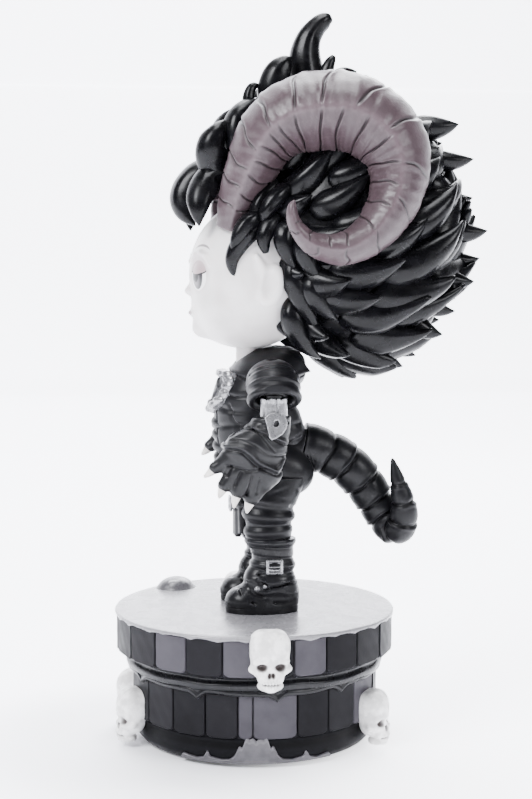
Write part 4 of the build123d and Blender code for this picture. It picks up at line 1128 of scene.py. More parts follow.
# Skulls ---------------------------------------------------------------------------------------------------------
def skull():
    """Small moulded skull facing +Y, about 16 high and centred on its own height."""
    clay = Clay((-7, -3.2, -9), (7, 6.6, 9), 0.19)
    for side in (-1, 1):
        clay.slab((side * 1.6, 0.0, 2.7), (3.7, 4.4, 4.9), soft=1.0, round_=3.4)
    clay.egg((0, 1.4, 3.0), (4.4, 3.9, 3.9), soft=1.4)
    clay.egg((0, 0.2, -2.1), (5.1, 3.9, 3.8), soft=1.2)
    for side in (-1, 1):
        clay.rod((side * 0.9, 4.0, -0.1), (side * 4.3, 2.7, 0.0), 0.8, 0.7, soft=0.9)
        clay.rod((side * 2.2, 3.5, -3.1), (side * 4.9, 1.2, -2.4), 1.0, 0.9, soft=1.0)
        clay.egg((side * 6.5, 2.2, 0.6), (1.2, 2.0, 2.2), soft=1.0, dig=True)
        clay.egg((side * 4.5, 3.2, -6.0), (1.9, 2.6, 1.9), soft=0.8, dig=True)
    clay.egg((0, 2.1, -4.8), (3.5, 2.5, 2.2), soft=0.9)
    clay.egg((0, 1.2, -6.9), (3.5, 2.8, 1.6), soft=0.6)
    clay.egg((0, 3.1, -7.5), (1.6, 0.9, 0.8), soft=0.6)
    for side in (-1, 1):
        clay.egg((side * 2.45, 4.1, -1.5), (1.55, 2.1, 1.1), (0, side * 12, 0), soft=0.35, dig=True)
        clay.egg((side * 0.5, 4.5, -3.6), (0.55, 1.5, 0.85), (0, side * -18, 0), soft=0.2, dig=True)
    clay.slab((0, 4.4, -6.05), (2.3, 1.4, 0.14), dig=True, soft=0.15, round_=0.1)
    for n in range(6):
        x = (n - 2.5) * 0.78
        y = 4.55 - 0.16 * x * x
        clay.egg((x, y, -5.45), (0.34, 0.4, 0.6), soft=0.14)
        clay.egg((x, y - 0.35, -6.6), (0.32, 0.38, 0.5), soft=0.14)
    for start, end in (((-2.6, 3.6, 6.2), (-1.2, 4.6, 3.4)), ((-1.2, 4.6, 3.4), (-1.9, 4.7, 2.2)),
            ((3.2, 2.6, 5.9), (2.5, 4.0, 4.2))):
        clay.rod(start, end, 0.16, soft=0.12, dig=True)
    points, quads = clay.skin()
    # Sockets, nose hole and mouth slot are darkened: painted shade in these recesses.
    dark = np.zeros(len(points))
    for side in (-1, 1):
        dark = np.maximum(dark, 1 - smoothstep(0.7, 1.12,
            np.linalg.norm((points - (side * 2.45, 3.3, -1.5)) / (1.6, 2.0, 1.2), axis=1)))
        dark = np.maximum(dark, 1 - smoothstep(0.6, 1.1,
            np.linalg.norm((points - (side * 0.5, 3.9, -3.6)) / (0.65, 1.4, 0.95), axis=1)))
    dark = np.maximum(dark, 0.8 * (1 - smoothstep(0.05, 0.3, np.abs(points[:, 2] + 6.05)))
        * (points[:, 1] > 2.5) * (np.abs(points[:, 0]) < 2.4))
    return points, quads, dark


UPPER_SKULL, LOWER_SKULL = (30.6, 1.0), (8.2, 0.96)  # height and size
SKULLS = [
    ("upper_left", 0, *UPPER_SKULL), ("upper_right", 180, *UPPER_SKULL), ("front_left", -75, *LOWER_SKULL),
    ("front_right", -107, *LOWER_SKULL), ("rear_left", 59, *LOWER_SKULL), ("rear_right", 121, *LOWER_SKULL),
]
SKULL_SINK, SKULL_STAND, SKULL_TIP = 0.3, 1.2, 6  # the upper ones sink in; the lower ones stand out and tip back
skull_points, skull_quads, skull_socket_shade = skull()
skull_hollow = hollowness(skull_points, skull_quads, 5)
for name, angle, height, size in SKULLS:
    lower = height < LOWER_TOP
    reach = LOWER_RADIUS + SKULL_STAND if lower else UPPER_RADIUS - SKULL_SINK
    place = (reach * math.cos(math.radians(angle)), reach * math.sin(math.radians(angle)), height)
    points = (skull_points * size) @ turn((SKULL_TIP if lower else 0, 0, 0)).T @ turn((0, 0,
        angle - 90)).T + place
    add_mesh(f"skull_piece_{name}", points, skull_quads, "figure", [f"skull_{name}"], bone_white, "bone_white",
             hollow=skull_hollow, dark=skull_socket_shade)


# Tail -----------------------------------------------------------------------------------------------------------
TAIL = [
    (0, 13.75, 82.35, 6.9), (0, 17.0, 81.6, 6.6), (0, 21.6, 80.0, 6.2), (0, 27.0, 76.6, 5.9),
    (0, 31.6, 71.7, 5.6), (0.4, 35.2, 66.1, 5.2),
    (1.2, 37.4, 61.9, 4.8), (3.0, 39.6, 58.9, 4.6), (5.2, 41.4, 59.2, 4.3), (7.0, 42.2, 62.6, 3.9),
    (7.8, 41.9, 66.6, 3.3),
    (8.0, 40.8, 71.0, 2.5), (8.0, 39.6, 75.4, 1.5), (8.0, 38.6, 79.2, 0.35),
]
TAIL_LIPS = [7.4, 13.9, 21.6, 28.2, 33.6, 38.2, 43.0, 48.4, 54.0]


def tail_mesh(rings=560, sides=90):
    """A tapering tail of overlapping ring segments after a plain root cap, ending in a hooked spike."""
    middle, radius, along, s = even_rings(TAIL, 3000, rings)
    side = [unit(np.cross(along[0], (0.0, 0.0, 1.0)))]
    for tangent in along[1:]:
        side.append(unit(side[-1] - tangent * (side[-1] @ tangent)))
    side = np.array(side)
    up = np.cross(side, along)
    angle = np.linspace(0, 2 * math.pi, sides, endpoint=False)
    a, ss = np.meshgrid(angle, s)
    r = np.broadcast_to(radius[:, None], a.shape).copy()
    crease = np.zeros_like(r)
    for n, place in enumerate(TAIL_LIPS):
        last = TAIL_LIPS[n + 1] if n + 1 < len(TAIL_LIPS) else s[-1]
        gap = last - place
        here = place + 0.25 * np.sin(a * 2 + n) + 0.12 * np.sin(a * 5 + 2 * n) + 0.05 * radius[:,
            None] * np.cos(a + n)
        t = (ss - here) / gap
        inside = (t >= 0) & (t < 1.1)
        small = np.clip(radius[:, None] / 6, 0.25, 1)
        body = small * (0.62 * np.sin(np.clip(t, 0, 1) * math.pi) ** 0.7 - 0.15)
        lip = small * 0.45 * np.exp(-(((t - 0.86) / 0.09) ** 2))
        r += np.where(inside, (body + lip) * smoothstep(0.0, 0.08, t) * smoothstep(1.06, 0.98, t), 0)
        crease = np.maximum(crease, np.exp(-(((ss - here) / (0.35 + 0.25 * small)) ** 2)))
        r -= small * 0.42 * np.exp(-(((ss - here) / 0.4) ** 2))
    seam = smoothstep(0.5, 1.1, ss) * smoothstep(4.6, 3.6, ss) * smoothstep(0.1, -0.5, np.sin(a))
    rough = np.sin(a * 17 + 3 * np.sin(ss * 4)) * np.sin(ss * 9 + a * 5) + 0.6 * np.sin(a * 31 + ss * 7)
    r += seam * (0.14 * rough - 0.22)
    r += smoothstep(0.6, 3.0, ss) * smoothstep(7.4, 5.4, ss) * 0.3
    r *= smoothstep(-0.5, 0.2, ss) * 0.06 + 0.94
    r = np.maximum(r, 0.06)
    points = middle[:, None] + r[..., None] * (np.cos(a)[..., None] * side[:, None]
        + np.sin(a)[..., None] * up[:, None])
    # Creases between segments, and the seam band at the root, are darkened through the finish's crease wash:
    # painted shade.
    marks = np.append(np.clip(crease + 0.4 * seam, 0, 1).ravel(), [0, 0])
    return *closed_tube(points, middle[0], middle[-1] + along[-1] * 0.4), marks


points, faces, crease = tail_mesh()
add_mesh("tail_piece", points, faces, "tail", ["tail"], black_satin, "black_satin",
         hollow=np.maximum(hollowness(points, faces, 4), crease))


# Boots and legs -------------------------------------------------------------------------------------------------
def boot_clay():
    clay = Clay((0.6, -10.2, 35.9), (15.4, 13.6, 58.6), 0.26)
    clay.ovals([(36.4, 8.0, 1.4, 5.3, 10.0), (38.0, 8.0, 1.3, 5.7, 10.3), (40.0, 8.0, 1.6, 5.5, 9.9),
        (42.2, 8.0, 2.6, 5.1, 8.6), (45.0, 8.0, 4.0, 4.9, 6.9)], soft=0.6)
    clay.egg((8.0, -3.6, 39.6), (5.4, 5.4, 4.1), soft=1.5)
    clay.egg((8.0, 7.6, 40.6), (4.7, 4.1, 4.8), soft=1.5)
    clay.ovals([(43.0, 8.0, 4.2, 4.9, 6.5), (48.0, 8.0, 4.7, 4.9, 5.9), (52.0, 8.0, 4.5, 5.1, 5.9),
        (55.6, 8.0, 4.0, 5.4, 6.3)], soft=2.4)
    clay.egg((8.0, 0.4, 46.0), (4.3, 4.0, 3.4), (-20, 0, 0), soft=2.0)
    clay.ovals([(55.2, 8.0, 3.8, 5.9, 6.7), (56.4, 8.0, 3.7, 6.4, 7.4), (57.4, 8.0, 3.7, 6.2, 7.2)], soft=0.7)
    for z, half_x, half_y, tube, lean in ((55.1, 5.6, 6.5, 0.34, 3), (52.2, 5.2, 6.1, 0.28, 4),
            (47.6, 5.1, 6.2, 0.28, -3), (43.9, 5.3, 7.1, 0.22, -12)):
        clay.ring((8.0, 4.3, z), (0, math.sin(math.radians(lean)), 1), (half_x, half_y), tube, 0.5, dig=True)
    clay.ring((8.0, 4.4, 49.9), (0, 0.04, 1), (4.75, 5.65), 0.9, 0.5)
    for path in (
        [(12.9, -1.4, 46.6), (12.9, 1.6, 44.8), (12.6, 5.4, 44.2), (11.6, 8.8, 45.2)],
        [(11.6, -3.6, 45.0), (12.6, -1.8, 42.4), (13.2, 1.6, 41.2)],
        [(10.6, -5.2, 43.4), (12.2, -4.2, 41.0), (13.2, -1.0, 39.4)],
        [(13.0, 4.2, 39.6), (13.1, 7.6, 39.2), (11.8, 10.6, 40.0)],
        [(3.4, -1.2, 45.6), (3.0, 2.8, 44.4), (3.6, 7.8, 45.4)],
        [(4.4, -3.6, 43.6), (3.0, -0.8, 41.4), (2.6, 3.6, 41.0)],
        [(6.0, -5.4, 43.9), (8.0, -6.2, 43.4), (10.0, -5.4, 43.9)],
        [(5.4, -4.2, 45.4), (8.0, -5.2, 45.0), (10.6, -4.2, 45.4)],
    ):
        clay.chain(curve_through(path, 12), 0.14, soft=0.7, dig=True)
    clay.ring((8.0, 1.35, 38.0), (0, 0, 1), (6.1, 10.6), 0.27, 0.25, dig=True)
    clay.ovals([(36.35, 8.0, 1.35, 5.65, 10.35), (37.7, 8.0, 1.35, 5.75, 10.45)], soft=0.15)
    clay.cut((0, 0, TOP_Z + 0.02), (0, 0, -1))
    return clay


def leg_clay():
    clay = Clay((0.1, -6.4, 54.0), (15.4, 16.2, 77.0), 0.27)
    clay.ovals([(54.6, 8.0, 3.4, 4.9, 6.0), (57.4, 8.0, 3.2, 5.5, 6.6), (60.8, 8.0, 3.2, 5.4, 6.4),
        (64.5, 8.0, 3.2, 5.8, 6.8), (69.5, 7.6, 4.2, 6.2, 8.0), (74.6, 6.6, 5.4, 6.2, 9.4)], soft=0.8)
    for z, half_x, half_y, lean, tube in ((59.6, 4.75, 5.5, -3, 1.45), (64.0, 4.9, 5.7, 4, 1.9),
            (68.2, 4.8, 5.9, 10, 1.5)):
        clay.ring((7.9, 3.1 + (z - 60) * 0.03, z), (0.03, math.sin(math.radians(lean)), 1), (half_x, half_y),
            tube, 0.7)
    for z, half_x, half_y, lean in ((61.5, 6.4, 7.2, -3), (66.3, 6.8, 7.6, 8), (57.4, 6.1, 6.9, 2)):
        clay.ring((8.0, 3.2 + (z - 60) * 0.05, z), (0, math.sin(math.radians(lean)), 1), (half_x, half_y), 0.36,
            0.8, dig=True)
    for path in (
        [(14.0, -2.6, 71.6), (14.2, 2.2, 70.4), (13.4, 8.6, 72.0)],
        [(13.6, -1.0, 74.2), (13.8, 4.4, 73.2), (12.6, 10.4, 75.0)],
        [(4.6, -3.4, 68.6), (8.6, -4.6, 67.6), (12.6, -2.2, 68.8)],
        [(4.8, -3.6, 72.4), (9.0, -4.4, 71.0), (13.0, -1.2, 72.0)],
        [(5.0, 9.6, 66.4), (8.4, 10.9, 65.8), (12.0, 8.9, 66.8)],
        [(4.4, 12.2, 71.0), (8.4, 13.0, 70.2), (12.6, 10.9, 71.6)],
    ):
        clay.chain(curve_through(path, 12), 0.12, soft=0.9, dig=True)
    clay.cut((0.22, 0, 60), (-1, 0, 0), 0.4)
    return clay


for part, clay, finish, slot in (("boot", boot_clay(), black_gloss, "black_gloss"),
        ("leg", leg_clay(), black_satin, "black_satin")):
    points, quads = clay.skin()
    hollow = hollowness(points, quads)
    for hand, points, quads in both_hands(points, quads):
        add_mesh(f"{part}_piece_{hand}", points, quads, "figure", [f"{part}_{hand}"], finish, slot,
            hollow=hollow)


def buckle_clay(centre, half_y, half_z, bar=0.42, deep=0.75):
    """A square buckle with rounded bars and a tongue, facing the figure's left."""
    x, y, z = centre
    clay = Clay((x - deep - 1, y - half_y - 1, z - half_z - 1),
        (x + deep + 1.2, y + half_y + 1, z + half_z + 1), 0.11)
    corners = [
        (y - half_y, z - half_z), (y + half_y, z - half_z), (y + half_y, z + half_z), (y - half_y, z + half_z),
    ]
    for (y1, z1), (y2, z2) in zip(corners, corners[1:] + corners[:1]):
        clay.rod((x, y1, z1), (x, y2, z2), bar, soft=0.12)
    clay.rod((x + 0.25, y - half_y, z), (x + 0.3, y + half_y * 0.7, z), bar * 0.6, soft=0.1)
    clay.slab((x - 0.4, y, z), (0.3, half_y * 0.95, half_z * 0.9), soft=0.1)
    return clay.skin()


points, quads = buckle_clay((13.2, 4.4, 49.8), 1.95, 1.7)
hollow = hollowness(points, quads, 4)
for hand, points, quads in both_hands(points, quads):
    add_mesh(f"ankle_buckle_piece_{hand}", points, quads, "figure", [f"ankle_buckle_{hand}"], silver_paint,
        "silver_paint",
             hollow=hollow)

studs = []
for centre, size in (((12.95, -0.4, 43.6), 0.8), ((13.1, 1.7, 44.2), 0.55)):
    clay = Clay(np.array(centre) - 1.4, np.array(centre) + 1.4, 0.12)
    clay.egg(centre, (size * 0.8, size, size))
    clay.ring(centre, (1, 0, 0), size * 0.9, 0.16, 0.15)
    studs.append(clay.skin())
points, quads = joined(studs)
points, quads = joined([(points, quads), flipped(points, quads)])
add_mesh("boot_studs_piece", points, quads, "figure", ["boot_studs"], silver_paint, "silver_paint",
         hollow=hollowness(points, quads, 3))


# Torso ----------------------------------------------------------------------------------------------------------
JACKET = [
    (78.3, 0, -0.6, 9.2, 9.6), (85.5, 0, -0.6, 10.2, 10.9), (92.5, 0, -0.9, 11.6, 10.6),
    (99.0, 0, 0.4, 12.8, 10.6), (104.5, 0, 2.6, 11.6, 9.7), (108.6, 0, 4.4, 8.4, 7.6),
    (110.4, 0, 4.6, 5.6, 5.4),
]
tail_axis = np.array([0.0, math.cos(math.radians(15)), -math.sin(math.radians(15))])
tail_root = np.array([0.0, 13.6, 82.4])


def torso_clay():
    clay = Clay((-14.6, -13.6, 76.6), (14.6, 16.4, 113.4), 0.3)
    clay.ovals(JACKET, soft=1.0)
    clay.egg((0, 4.2, 103.6), (13.2, 10.6, 7.6), (6, 0, 0), soft=1.2)
    clay.egg((0, 5.0, 105.2), (12.0, 9.6, 5.6), (12, 0, 0), soft=1.0)
    for side in (-1, 1):
        clay.prism([(7.0, 108.6), (12.6, 107.6), (15.2, 104.2), (11.4, 103.6), (8.0, 103.2)],
            (side * 7.6, 0, 0), "YZ", 1.3, 0.5, soft=1.6)
    for side in (-1, 1):
        clay.rod((side * 3.0, 9.2, 86.4), (side * 3.4, 5.4, 97.5), 5.2, 5.4, soft=2.4)
    clay.egg(HEAD, (21.0, 19.1, 21.2), dig=True)
    clay.score([(-9.5, 105.8), (-5.0, 102.9), (2.0, 101.6), (9.0, 102.2), (14.0, 103.4)], "YZ", 0.3, 0.5)
    clay.score([(-9.5, 106.8), (-5.0, 103.9), (2.0, 102.6), (9.0, 103.2), (14.0, 104.2)], "YZ", 0.5, -0.3)
    clay.rod((0, -1.5, 100), (0, -1.5, 116), 3.95, dig=True)
    for side in (-1, 1):
        clay.score([(side * 9.6, 78), (side * 9.4, 88), (side * 8.4, 95)], "XZ", 0.3, 0.45, front=True)
        clay.score([(side * 3.4, 78), (side * 3.6, 90), (side * 3.2, 93.5)], "XZ", 0.28, 0.4, front=True)
    clay.score([(0, 76), (0.2, 90), (0, 108)], "XZ", 0.35, 0.5, back=True)
    for line in (
        [(-9.5, 82.0), (-3.0, 81.0), (5.0, 82.4), (12, 84.6)],
        [(-11.0, 88.6), (-4.0, 89.6), (4.0, 88.2), (12, 89.4)],
        [(-12.0, 94.6), (-5.0, 93.2), (4.0, 94.6), (12, 93.8)],
    ):
        clay.score(line, "YZ", 0.7, 0.35)
    clay.score([(-13, 99.4), (-6.5, 97.4), (0, 97.4), (7, 98.4), (14, 100.6)], "YZ", 0.3, 0.5)
    clay.score([(-12, 79.4), (0, 79.8), (8, 83.6), (12.5, 86.4)], "YZ", 0.25, 0.35)
    clay.disc_cut(tail_root - tail_axis * 0.1, tail_axis, 9.0, 16.0)
    return clay


def hips_clay():
    clay = Clay((-12.8, -7.6, 66.6), (12.8, 18.9, 87.4), 0.28)
    clay.egg((0, 5.4, 77.0), (11.5, 11.3, 8.6))
    clay.rod(tail_root - tail_axis * 6, tail_root + tail_axis * 0.02, 5.2, 6.7, soft=3.0)
    for side in (-1, 1):
        clay.egg((side * 5.4, 8.8, 75.2), (5.9, 7.7, 6.6), soft=1.2)
        clay.score([(2, 74.9), (4.7, 73.9), (7.5, 72.9), (10.6, 70.7), (12.4, 68.5)], "YZ", 0.35, 0.45)
    clay.score([(0, 66), (0, 76.5)], "XZ", 0.5, 0.8, back=True)
    clay.disc_cut(tail_root - tail_axis * 0.12, tail_axis, 7.4, 16.0)
    return clay


for name, node, clay in (("jacket", "torso", torso_clay()), ("hips_piece", "hips", hips_clay())):
    points, quads = clay.skin()
    add_mesh(name, points, quads, "figure", [node], black_satin, "black_satin",
        hollow=hollowness(points, quads))

# Chest plaque: a plain shield with a rough raised rim, and the guard and flap below it.
PLAQUE_AT = np.array([0.0, -8.4, 98.4])
PLAQUE_LEAN = math.radians(17)
PLAQUE_FACING = np.array([0.0, -math.cos(PLAQUE_LEAN), math.sin(PLAQUE_LEAN)])
PLAQUE_UP = np.array([0.0, math.sin(PLAQUE_LEAN), math.cos(PLAQUE_LEAN)])
SHIELD = [
    (0, -7.2), (3.2, -5.6), (5.6, -3.8), (6.6, -1.4), (7.0, 1.0), (6.5, 3.4), (5.6, 5.2), (3.0, 4.9), (0, 5.4),
    (-3.0, 4.9), (-5.6, 5.2), (-6.5, 3.4), (-7.0, 1.0), (-6.6, -1.4), (-5.6, -3.8), (-3.2, -5.6),
]


def on_plaque(x, y, out):
    return PLAQUE_AT + np.array([1.0, 0, 0]) * x + PLAQUE_UP * y + PLAQUE_FACING * out


def wrapped(points, wider=1.18, bend=0.056):
    """The points spread sideways and bent back round the chest."""
    points[:, 0] *= wider
    points[:, 1] += bend * points[:, 0] ** 2
    return points


def plaque_clays():
    frame_clay = Clay((-8.4, -14.4, 90.2), (8.4, -7.4, 106.4), 0.16)
    sheet = (np.array([1.0, 0, 0]), PLAQUE_UP)
    frame_clay.prism(SHIELD, PLAQUE_AT + PLAQUE_FACING * 2.2, sheet, 1.5, 0.75)
    frame_clay.prism([(x * 0.9, y * 0.9) for x, y in SHIELD], PLAQUE_AT + PLAQUE_FACING * 1.0, sheet, 1.4, 0.4)
    frame_clay.prism([(x * 0.76, y * 0.76) for x, y in SHIELD], PLAQUE_AT, sheet, 6.0, 0.2, dig=True, soft=0.8)
    rim = [on_plaque(x * 0.85, y * 0.85, 3.7 + 0.2 * math.sin(3 * x + y)) for x, y in SHIELD]
    for n, point in enumerate(rim):
        frame_clay.egg(point - PLAQUE_FACING * 0.3, (0.9 + 0.25 * (n % 3), 0.7, 0.8 + 0.2 * (n % 2)), soft=0.6)
    for a, b in zip(rim[::2], rim[1::2]):
        frame_clay.rod(a + PLAQUE_FACING * 0.5, b + PLAQUE_FACING * 0.3, 0.14, soft=0.3, dig=True)
    inset = Clay((-6.6, -13.6, 91.6), (6.6, -7.4, 105.0), 0.16)
    inset.prism([(x * 0.8, y * 0.8) for x, y in SHIELD], PLAQUE_AT, sheet, 2.45, 0.4)
    for n in range(9):
        x, y = -3.6 + 0.9 * n, 2.6 * math.sin(n * 2.1)
        inset.rod(on_plaque(x - 0.6, y - 1.4, 2.5), on_plaque(x + 0.7, y + 1.6, 2.5), 0.22, soft=0.25, dig=True)
    inset.prism([(0, -3.2), (2.3, 0.2), (0, 3.2), (-2.3, 0.2)], PLAQUE_AT, sheet, 3.1, 0.3, soft=0.3)
    return frame_clay.skin(), inset.skin()


plaque_frame, plaque_inset = plaque_clays()
plaque_dark = painted("plaque_dark", (0.03, 0.03, 0.033), (0.006, 0.006, 0.007), (0.3, 0.3, 0.31), 0.4,
    metallic=0.3, blotch=1.2, grain=0.15)
for name, node, (points, quads), finish, slot in (
    ("plaque_rim", "chest_plaque_frame", plaque_frame, silver_paint, "silver_paint"),
    ("plaque_face", "chest_plaque_inset", plaque_inset, plaque_dark, "plaque_dark"),
):
    points = wrapped(points)
    add_mesh(name, points, quads, "figure", [node], finish, slot, hollow=hollowness(points, quads, 5))


def guard_clay():
    clay = Clay((-6.4, -13.4, 76.0), (6.4, -7.0, 92.6), 0.2)
    for n in range(4):
        z = 89.2 - 3.3 * n
        clay.egg((0, -9.2 + 0.12 * n, z), (5.0 - 0.45 * n, 3.2 - 0.1 * n, 2.3), (-14, 0, 0), soft=0.12)
    clay.score([(0, 76), (0, 92)], "XZ", 0.22, 0.3, front=True)
    clay.cut((0, -8.4, 84), (0, 1, 0))
    return clay


def flap_clay():
    clay = Clay((-5.6, -8.4, 55.4), (5.6, -2.4, 76.4), 0.2)
    outline = [
        (-3.6, 75.8), (3.6, 75.8), (4.3, 66), (4.6, 58.2), (2.4, 56.6), (0, 57.4), (-2.3, 56.2), (-4.6, 58.0),
        (-4.3, 66),
    ]
    clay.prism(outline, (0, -5.3, 0), "XZ", 0.85, 0.35)
    for x in (-2.3, 0.2, 2.6):
        clay.score([(x, 76), (x * 1.15, 66), (x * 1.3, 56)], "XZ", 0.7, 0.35)
    clay.rod((-4.4, -5.6, 66.0), (4.4, -5.6, 66.0), 0.95, soft=0.4)
    return clay


for name, node, clay, finish, slot in (
    ("belly_guard_piece", "belly_guard", guard_clay(), glove_grey, "glove_grey"),
    ("front_flap_piece", "front_flap", flap_clay(), black_satin, "black_satin"),
):
    points, quads = clay.skin()
    points = wrapped(points)
    add_mesh(name, points, quads, "figure", [node], finish, slot, hollow=hollowness(points, quads, 5))

points, quads = buckle_clay((0, 0, 0), 1.9, 1.7)
points = points @ turn((0, 0, -90)).T + (0, -6.9, 66.0)
add_mesh("flap_buckle_piece", points, quads, "figure", ["flap_buckle"], silver_paint, "silver_paint",
         hollow=hollowness(points, quads, 4))


# Shoulders, arms and gloves -------------------------------------------------------------------------------------
ARM_AXIS = np.array([0.5, 0.0, -0.866])
ARM_BALL = np.array([22.7, 3.0, 99.8])
FOREARM = (25.2, 2.7)  # where the upright forearm stands, across and along
HAND_SWING, SWING_BELOW = 0.17, 94.0  # how far the right hand hangs back for each millimetre below this height


def shoulder_clay():
    clay = Clay((8.6, -6.4, 91.6), (29.6, 13.4, 110.0), 0.25)
    clay.egg((18.4, 3.3, 101.6), (8.4, 7.5, 6.7), (0, 14, 0))
    for out, wide, tube in ((0.6, 5.8, 1.0), (-2.2, 5.5, 1.1), (-4.8, 4.6, 1.2)):
        clay.ring(ARM_BALL + ARM_AXIS * out, ARM_AXIS, (wide, wide + 0.2), tube, 0.8)
    for out, wide, tube in ((2.2, 6.2, 1.15), (-0.9, 6.6, 0.6), (-3.6, 5.8, 0.5)):
        clay.ring(ARM_BALL + ARM_AXIS * out, ARM_AXIS, (wide, wide + 0.2), tube, 0.8)
    for out, wide in ((0.9, 7.5), (-2.4, 7.2), (-4.9, 5.9)):
        clay.ring(ARM_BALL + ARM_AXIS * out, ARM_AXIS, (wide, wide + 0.2), 0.12, 0.7, dig=True)
    clay.rod(ARM_BALL - ARM_AXIS * 0.5, ARM_BALL + ARM_AXIS * 9, 4.6, 6.4, dig=True)
    clay.egg(ARM_BALL, 4.5, dig=True)
    clay.rod(ARM_BALL - ARM_AXIS * 9.0, ARM_BALL, 1.62, dig=True)
    return clay


def bracer_clay():
    clay = Clay((20.6, -2.0, 91.2), (29.8, 7.4, 99.4), 0.15)
    clay.ovals([(91.9, *FOREARM, 3.85, 3.85), (93.5, *FOREARM, 3.7, 3.7), (97.0, *FOREARM, 3.55, 3.6),
        (98.3, *FOREARM, 3.7, 3.75)])
    clay.score([(2.9, 91), (3.3, 95), (2.9, 99)], "YZ", 0.16, 0.3)
    clay.score([(0.3, 91), (0.0, 95), (0.4, 99)], "YZ", 0.3, 0.25)
    for y in (0.9, 4.4):
        clay.rod((25, y, 98.6), (30, y, 98.5), 0.45, dig=True, soft=0.2)
    clay.rod((*FOREARM, 90), (*FOREARM, 100), 2.68, dig=True)
    clay.egg(ARM_BALL, 4.08, dig=True)
    return clay


CUFF = [
    (-0.3, 93.9), (1.1, 95.0), (2.7, 95.3), (5.2, 94.2), (5.8, 92.4), (5.5, 90.9), (4.5, 89.4), (2.6, 88.2),
    (1.5, 87.8), (0.8, 88.6), (0.5, 90.4),
]


def cuff_clay():
    clay = Clay((26.8, -1.6, 86.6), (32.2, 7.2, 96.4), 0.14)
    lean = (np.array([0.0, 1.0, 0.0]), unit(np.array([-0.10, 0.0, 1.0])))
    origin = np.array([29.7, 0.0, 0.0]) + np.array([0.10 * 92, 0, 0])
    clay.prism(CUFF, origin, lean, 0.75, 0.3)
    clay.prism([(2.2, 91.4), (3.3, 91.4), (3.6, 92.2), (3.3, 93.1), (2.4, 93.0), (2.1, 92.2)], origin, lean,
        3.0, 0.2, dig=True, soft=0.25)
    clay.rod((*FOREARM, 88), (*FOREARM, 100), 3.95, dig=True)
    return clay


FINGERS = [
    # knuckle, claw's base, claw's tip, radius at the knuckle and at the claw
    ((25.6, -7.6, 82.4), (25.4, -13.2, 79.6), (25.3, -15.9, 77.3), 3.3, 1.55),
    ((26.6, -6.9, 80.0), (26.8, -10.7, 75.1), (26.9, -12.2, 71.9), 2.7, 1.75),
    ((26.9, -4.1, 79.0), (27.3, -7.2, 73.4), (27.4, -8.3, 69.3), 2.7, 1.8),
    ((26.4, 0.2, 78.4), (26.6, -3.4, 71.6), (26.6, -4.7, 67.7), 3.7, 1.95),
]


def glove_clay():
    clay = Clay((19.6, -16.6, 66.6), (32.6, 8.4, 95.6), 0.25)
    clay.ovals([(80.0, 25.9, -1.8, 4.6, 6.4), (84.0, 25.9, -2.4, 5.0, 7.9), (87.6, 25.8, -1.6, 4.9, 7.2),
        (90.6, 25.5, 0.2, 4.5, 5.2), (93.0, 25.3, 1.6, 4.2, 4.3)], soft=0.5)
    clay.egg((26.0, -2.6, 84.6), (5.3, 8.8, 5.4), (0, 0, 0), soft=1.0)
    clay.egg((26.0, -1.4, 79.4), (4.7, 6.6, 5.6), (-20, 0, 0), soft=1.0)
    clay.egg((26.3, -4.6, 77.0), (3.5, 5.6, 4.4), (34, 0, 0), soft=1.2)
    for knuckle, base, tip, wide, narrow in FINGERS:
        clay.rod(knuckle, base, wide, narrow * 1.12, soft=1.1)
        clay.egg(np.array(knuckle) * 0.7 + np.array(base) * 0.3, (wide * 0.95, wide * 0.9, wide * 0.95),
            soft=0.8)
    clay.ovals([(85.4, 25.3, 1.4, 4.5, 4.9), (89.0, 25.2, 2.3, 4.6, 4.8), (93.3, *FOREARM, 4.6, 4.6)], soft=0.8)
    clay.ring((25.3, 1.6, 92.8), (0, -0.12, 1), (4.0, 4.3), 0.75, 0.35)
    clay.ring((25.4, 1.3, 91.2), (0, -0.14, 1), (4.8, 5.3), 0.3, 0.4, dig=True)
    clay.score([(-11.1, 85.9), (-6.8, 85.6), (-4.1, 83.7), (-2.0, 81.6), (1.2, 79.9), (3.3, 79.1), (5.4, 81.9)],
        "YZ", 0.62, -0.75)
    clay.score([(-11.3, 84.7), (-6.9, 84.4), (-4.4, 82.4), (-2.3, 80.4), (1.1, 78.7), (3.6, 77.9), (5.6, 80.0)],
        "YZ", 0.4, 0.55)
    clay.score([(-10.6, 86.4), (-9.5, 87.8), (-5.2, 90.1), (-1.5, 89.3), (2.3, 87.4), (6.2, 85.5)], "YZ", 0.22,
        0.45)
    clay.score([(-10.0, 87.4), (-5.2, 90.9), (-1.5, 90.1), (2.3, 88.2), (6.2, 86.5)], "YZ", 0.5, -0.35)
    clay.score([(-4.2, 91.0), (-1.6, 88.9), (1.1, 85.7), (2.4, 84.2)], "YZ", 0.25, 0.35)
    clay.score([(-11.4, 87.0), (-7.2, 87.4), (-3.2, 86.2), (0.6, 83.6), (5.4, 83.0)], "YZ", 0.3, 0.3)
    clay.score([(-10.0, 80.6), (-6.8, 79.9), (-4.1, 79.1), (-0.9, 79.9), (2.8, 78.7)], "YZ", 0.35, 0.4)
    for line in ([(-9.0, 80.2), (-10.2, 77.9)], [(-6.6, 78.8), (-8.2, 75.2)], [(-3.6, 78.0), (-4.9, 72.6)],
            [(-1.6, 76.4), (-2.4, 73.0)]):
        clay.score(line, "YZ", 0.36, 0.5)
    clay.rod((*FOREARM, 93.6), (*FOREARM, 99), 3.9, dig=True)
    return clay


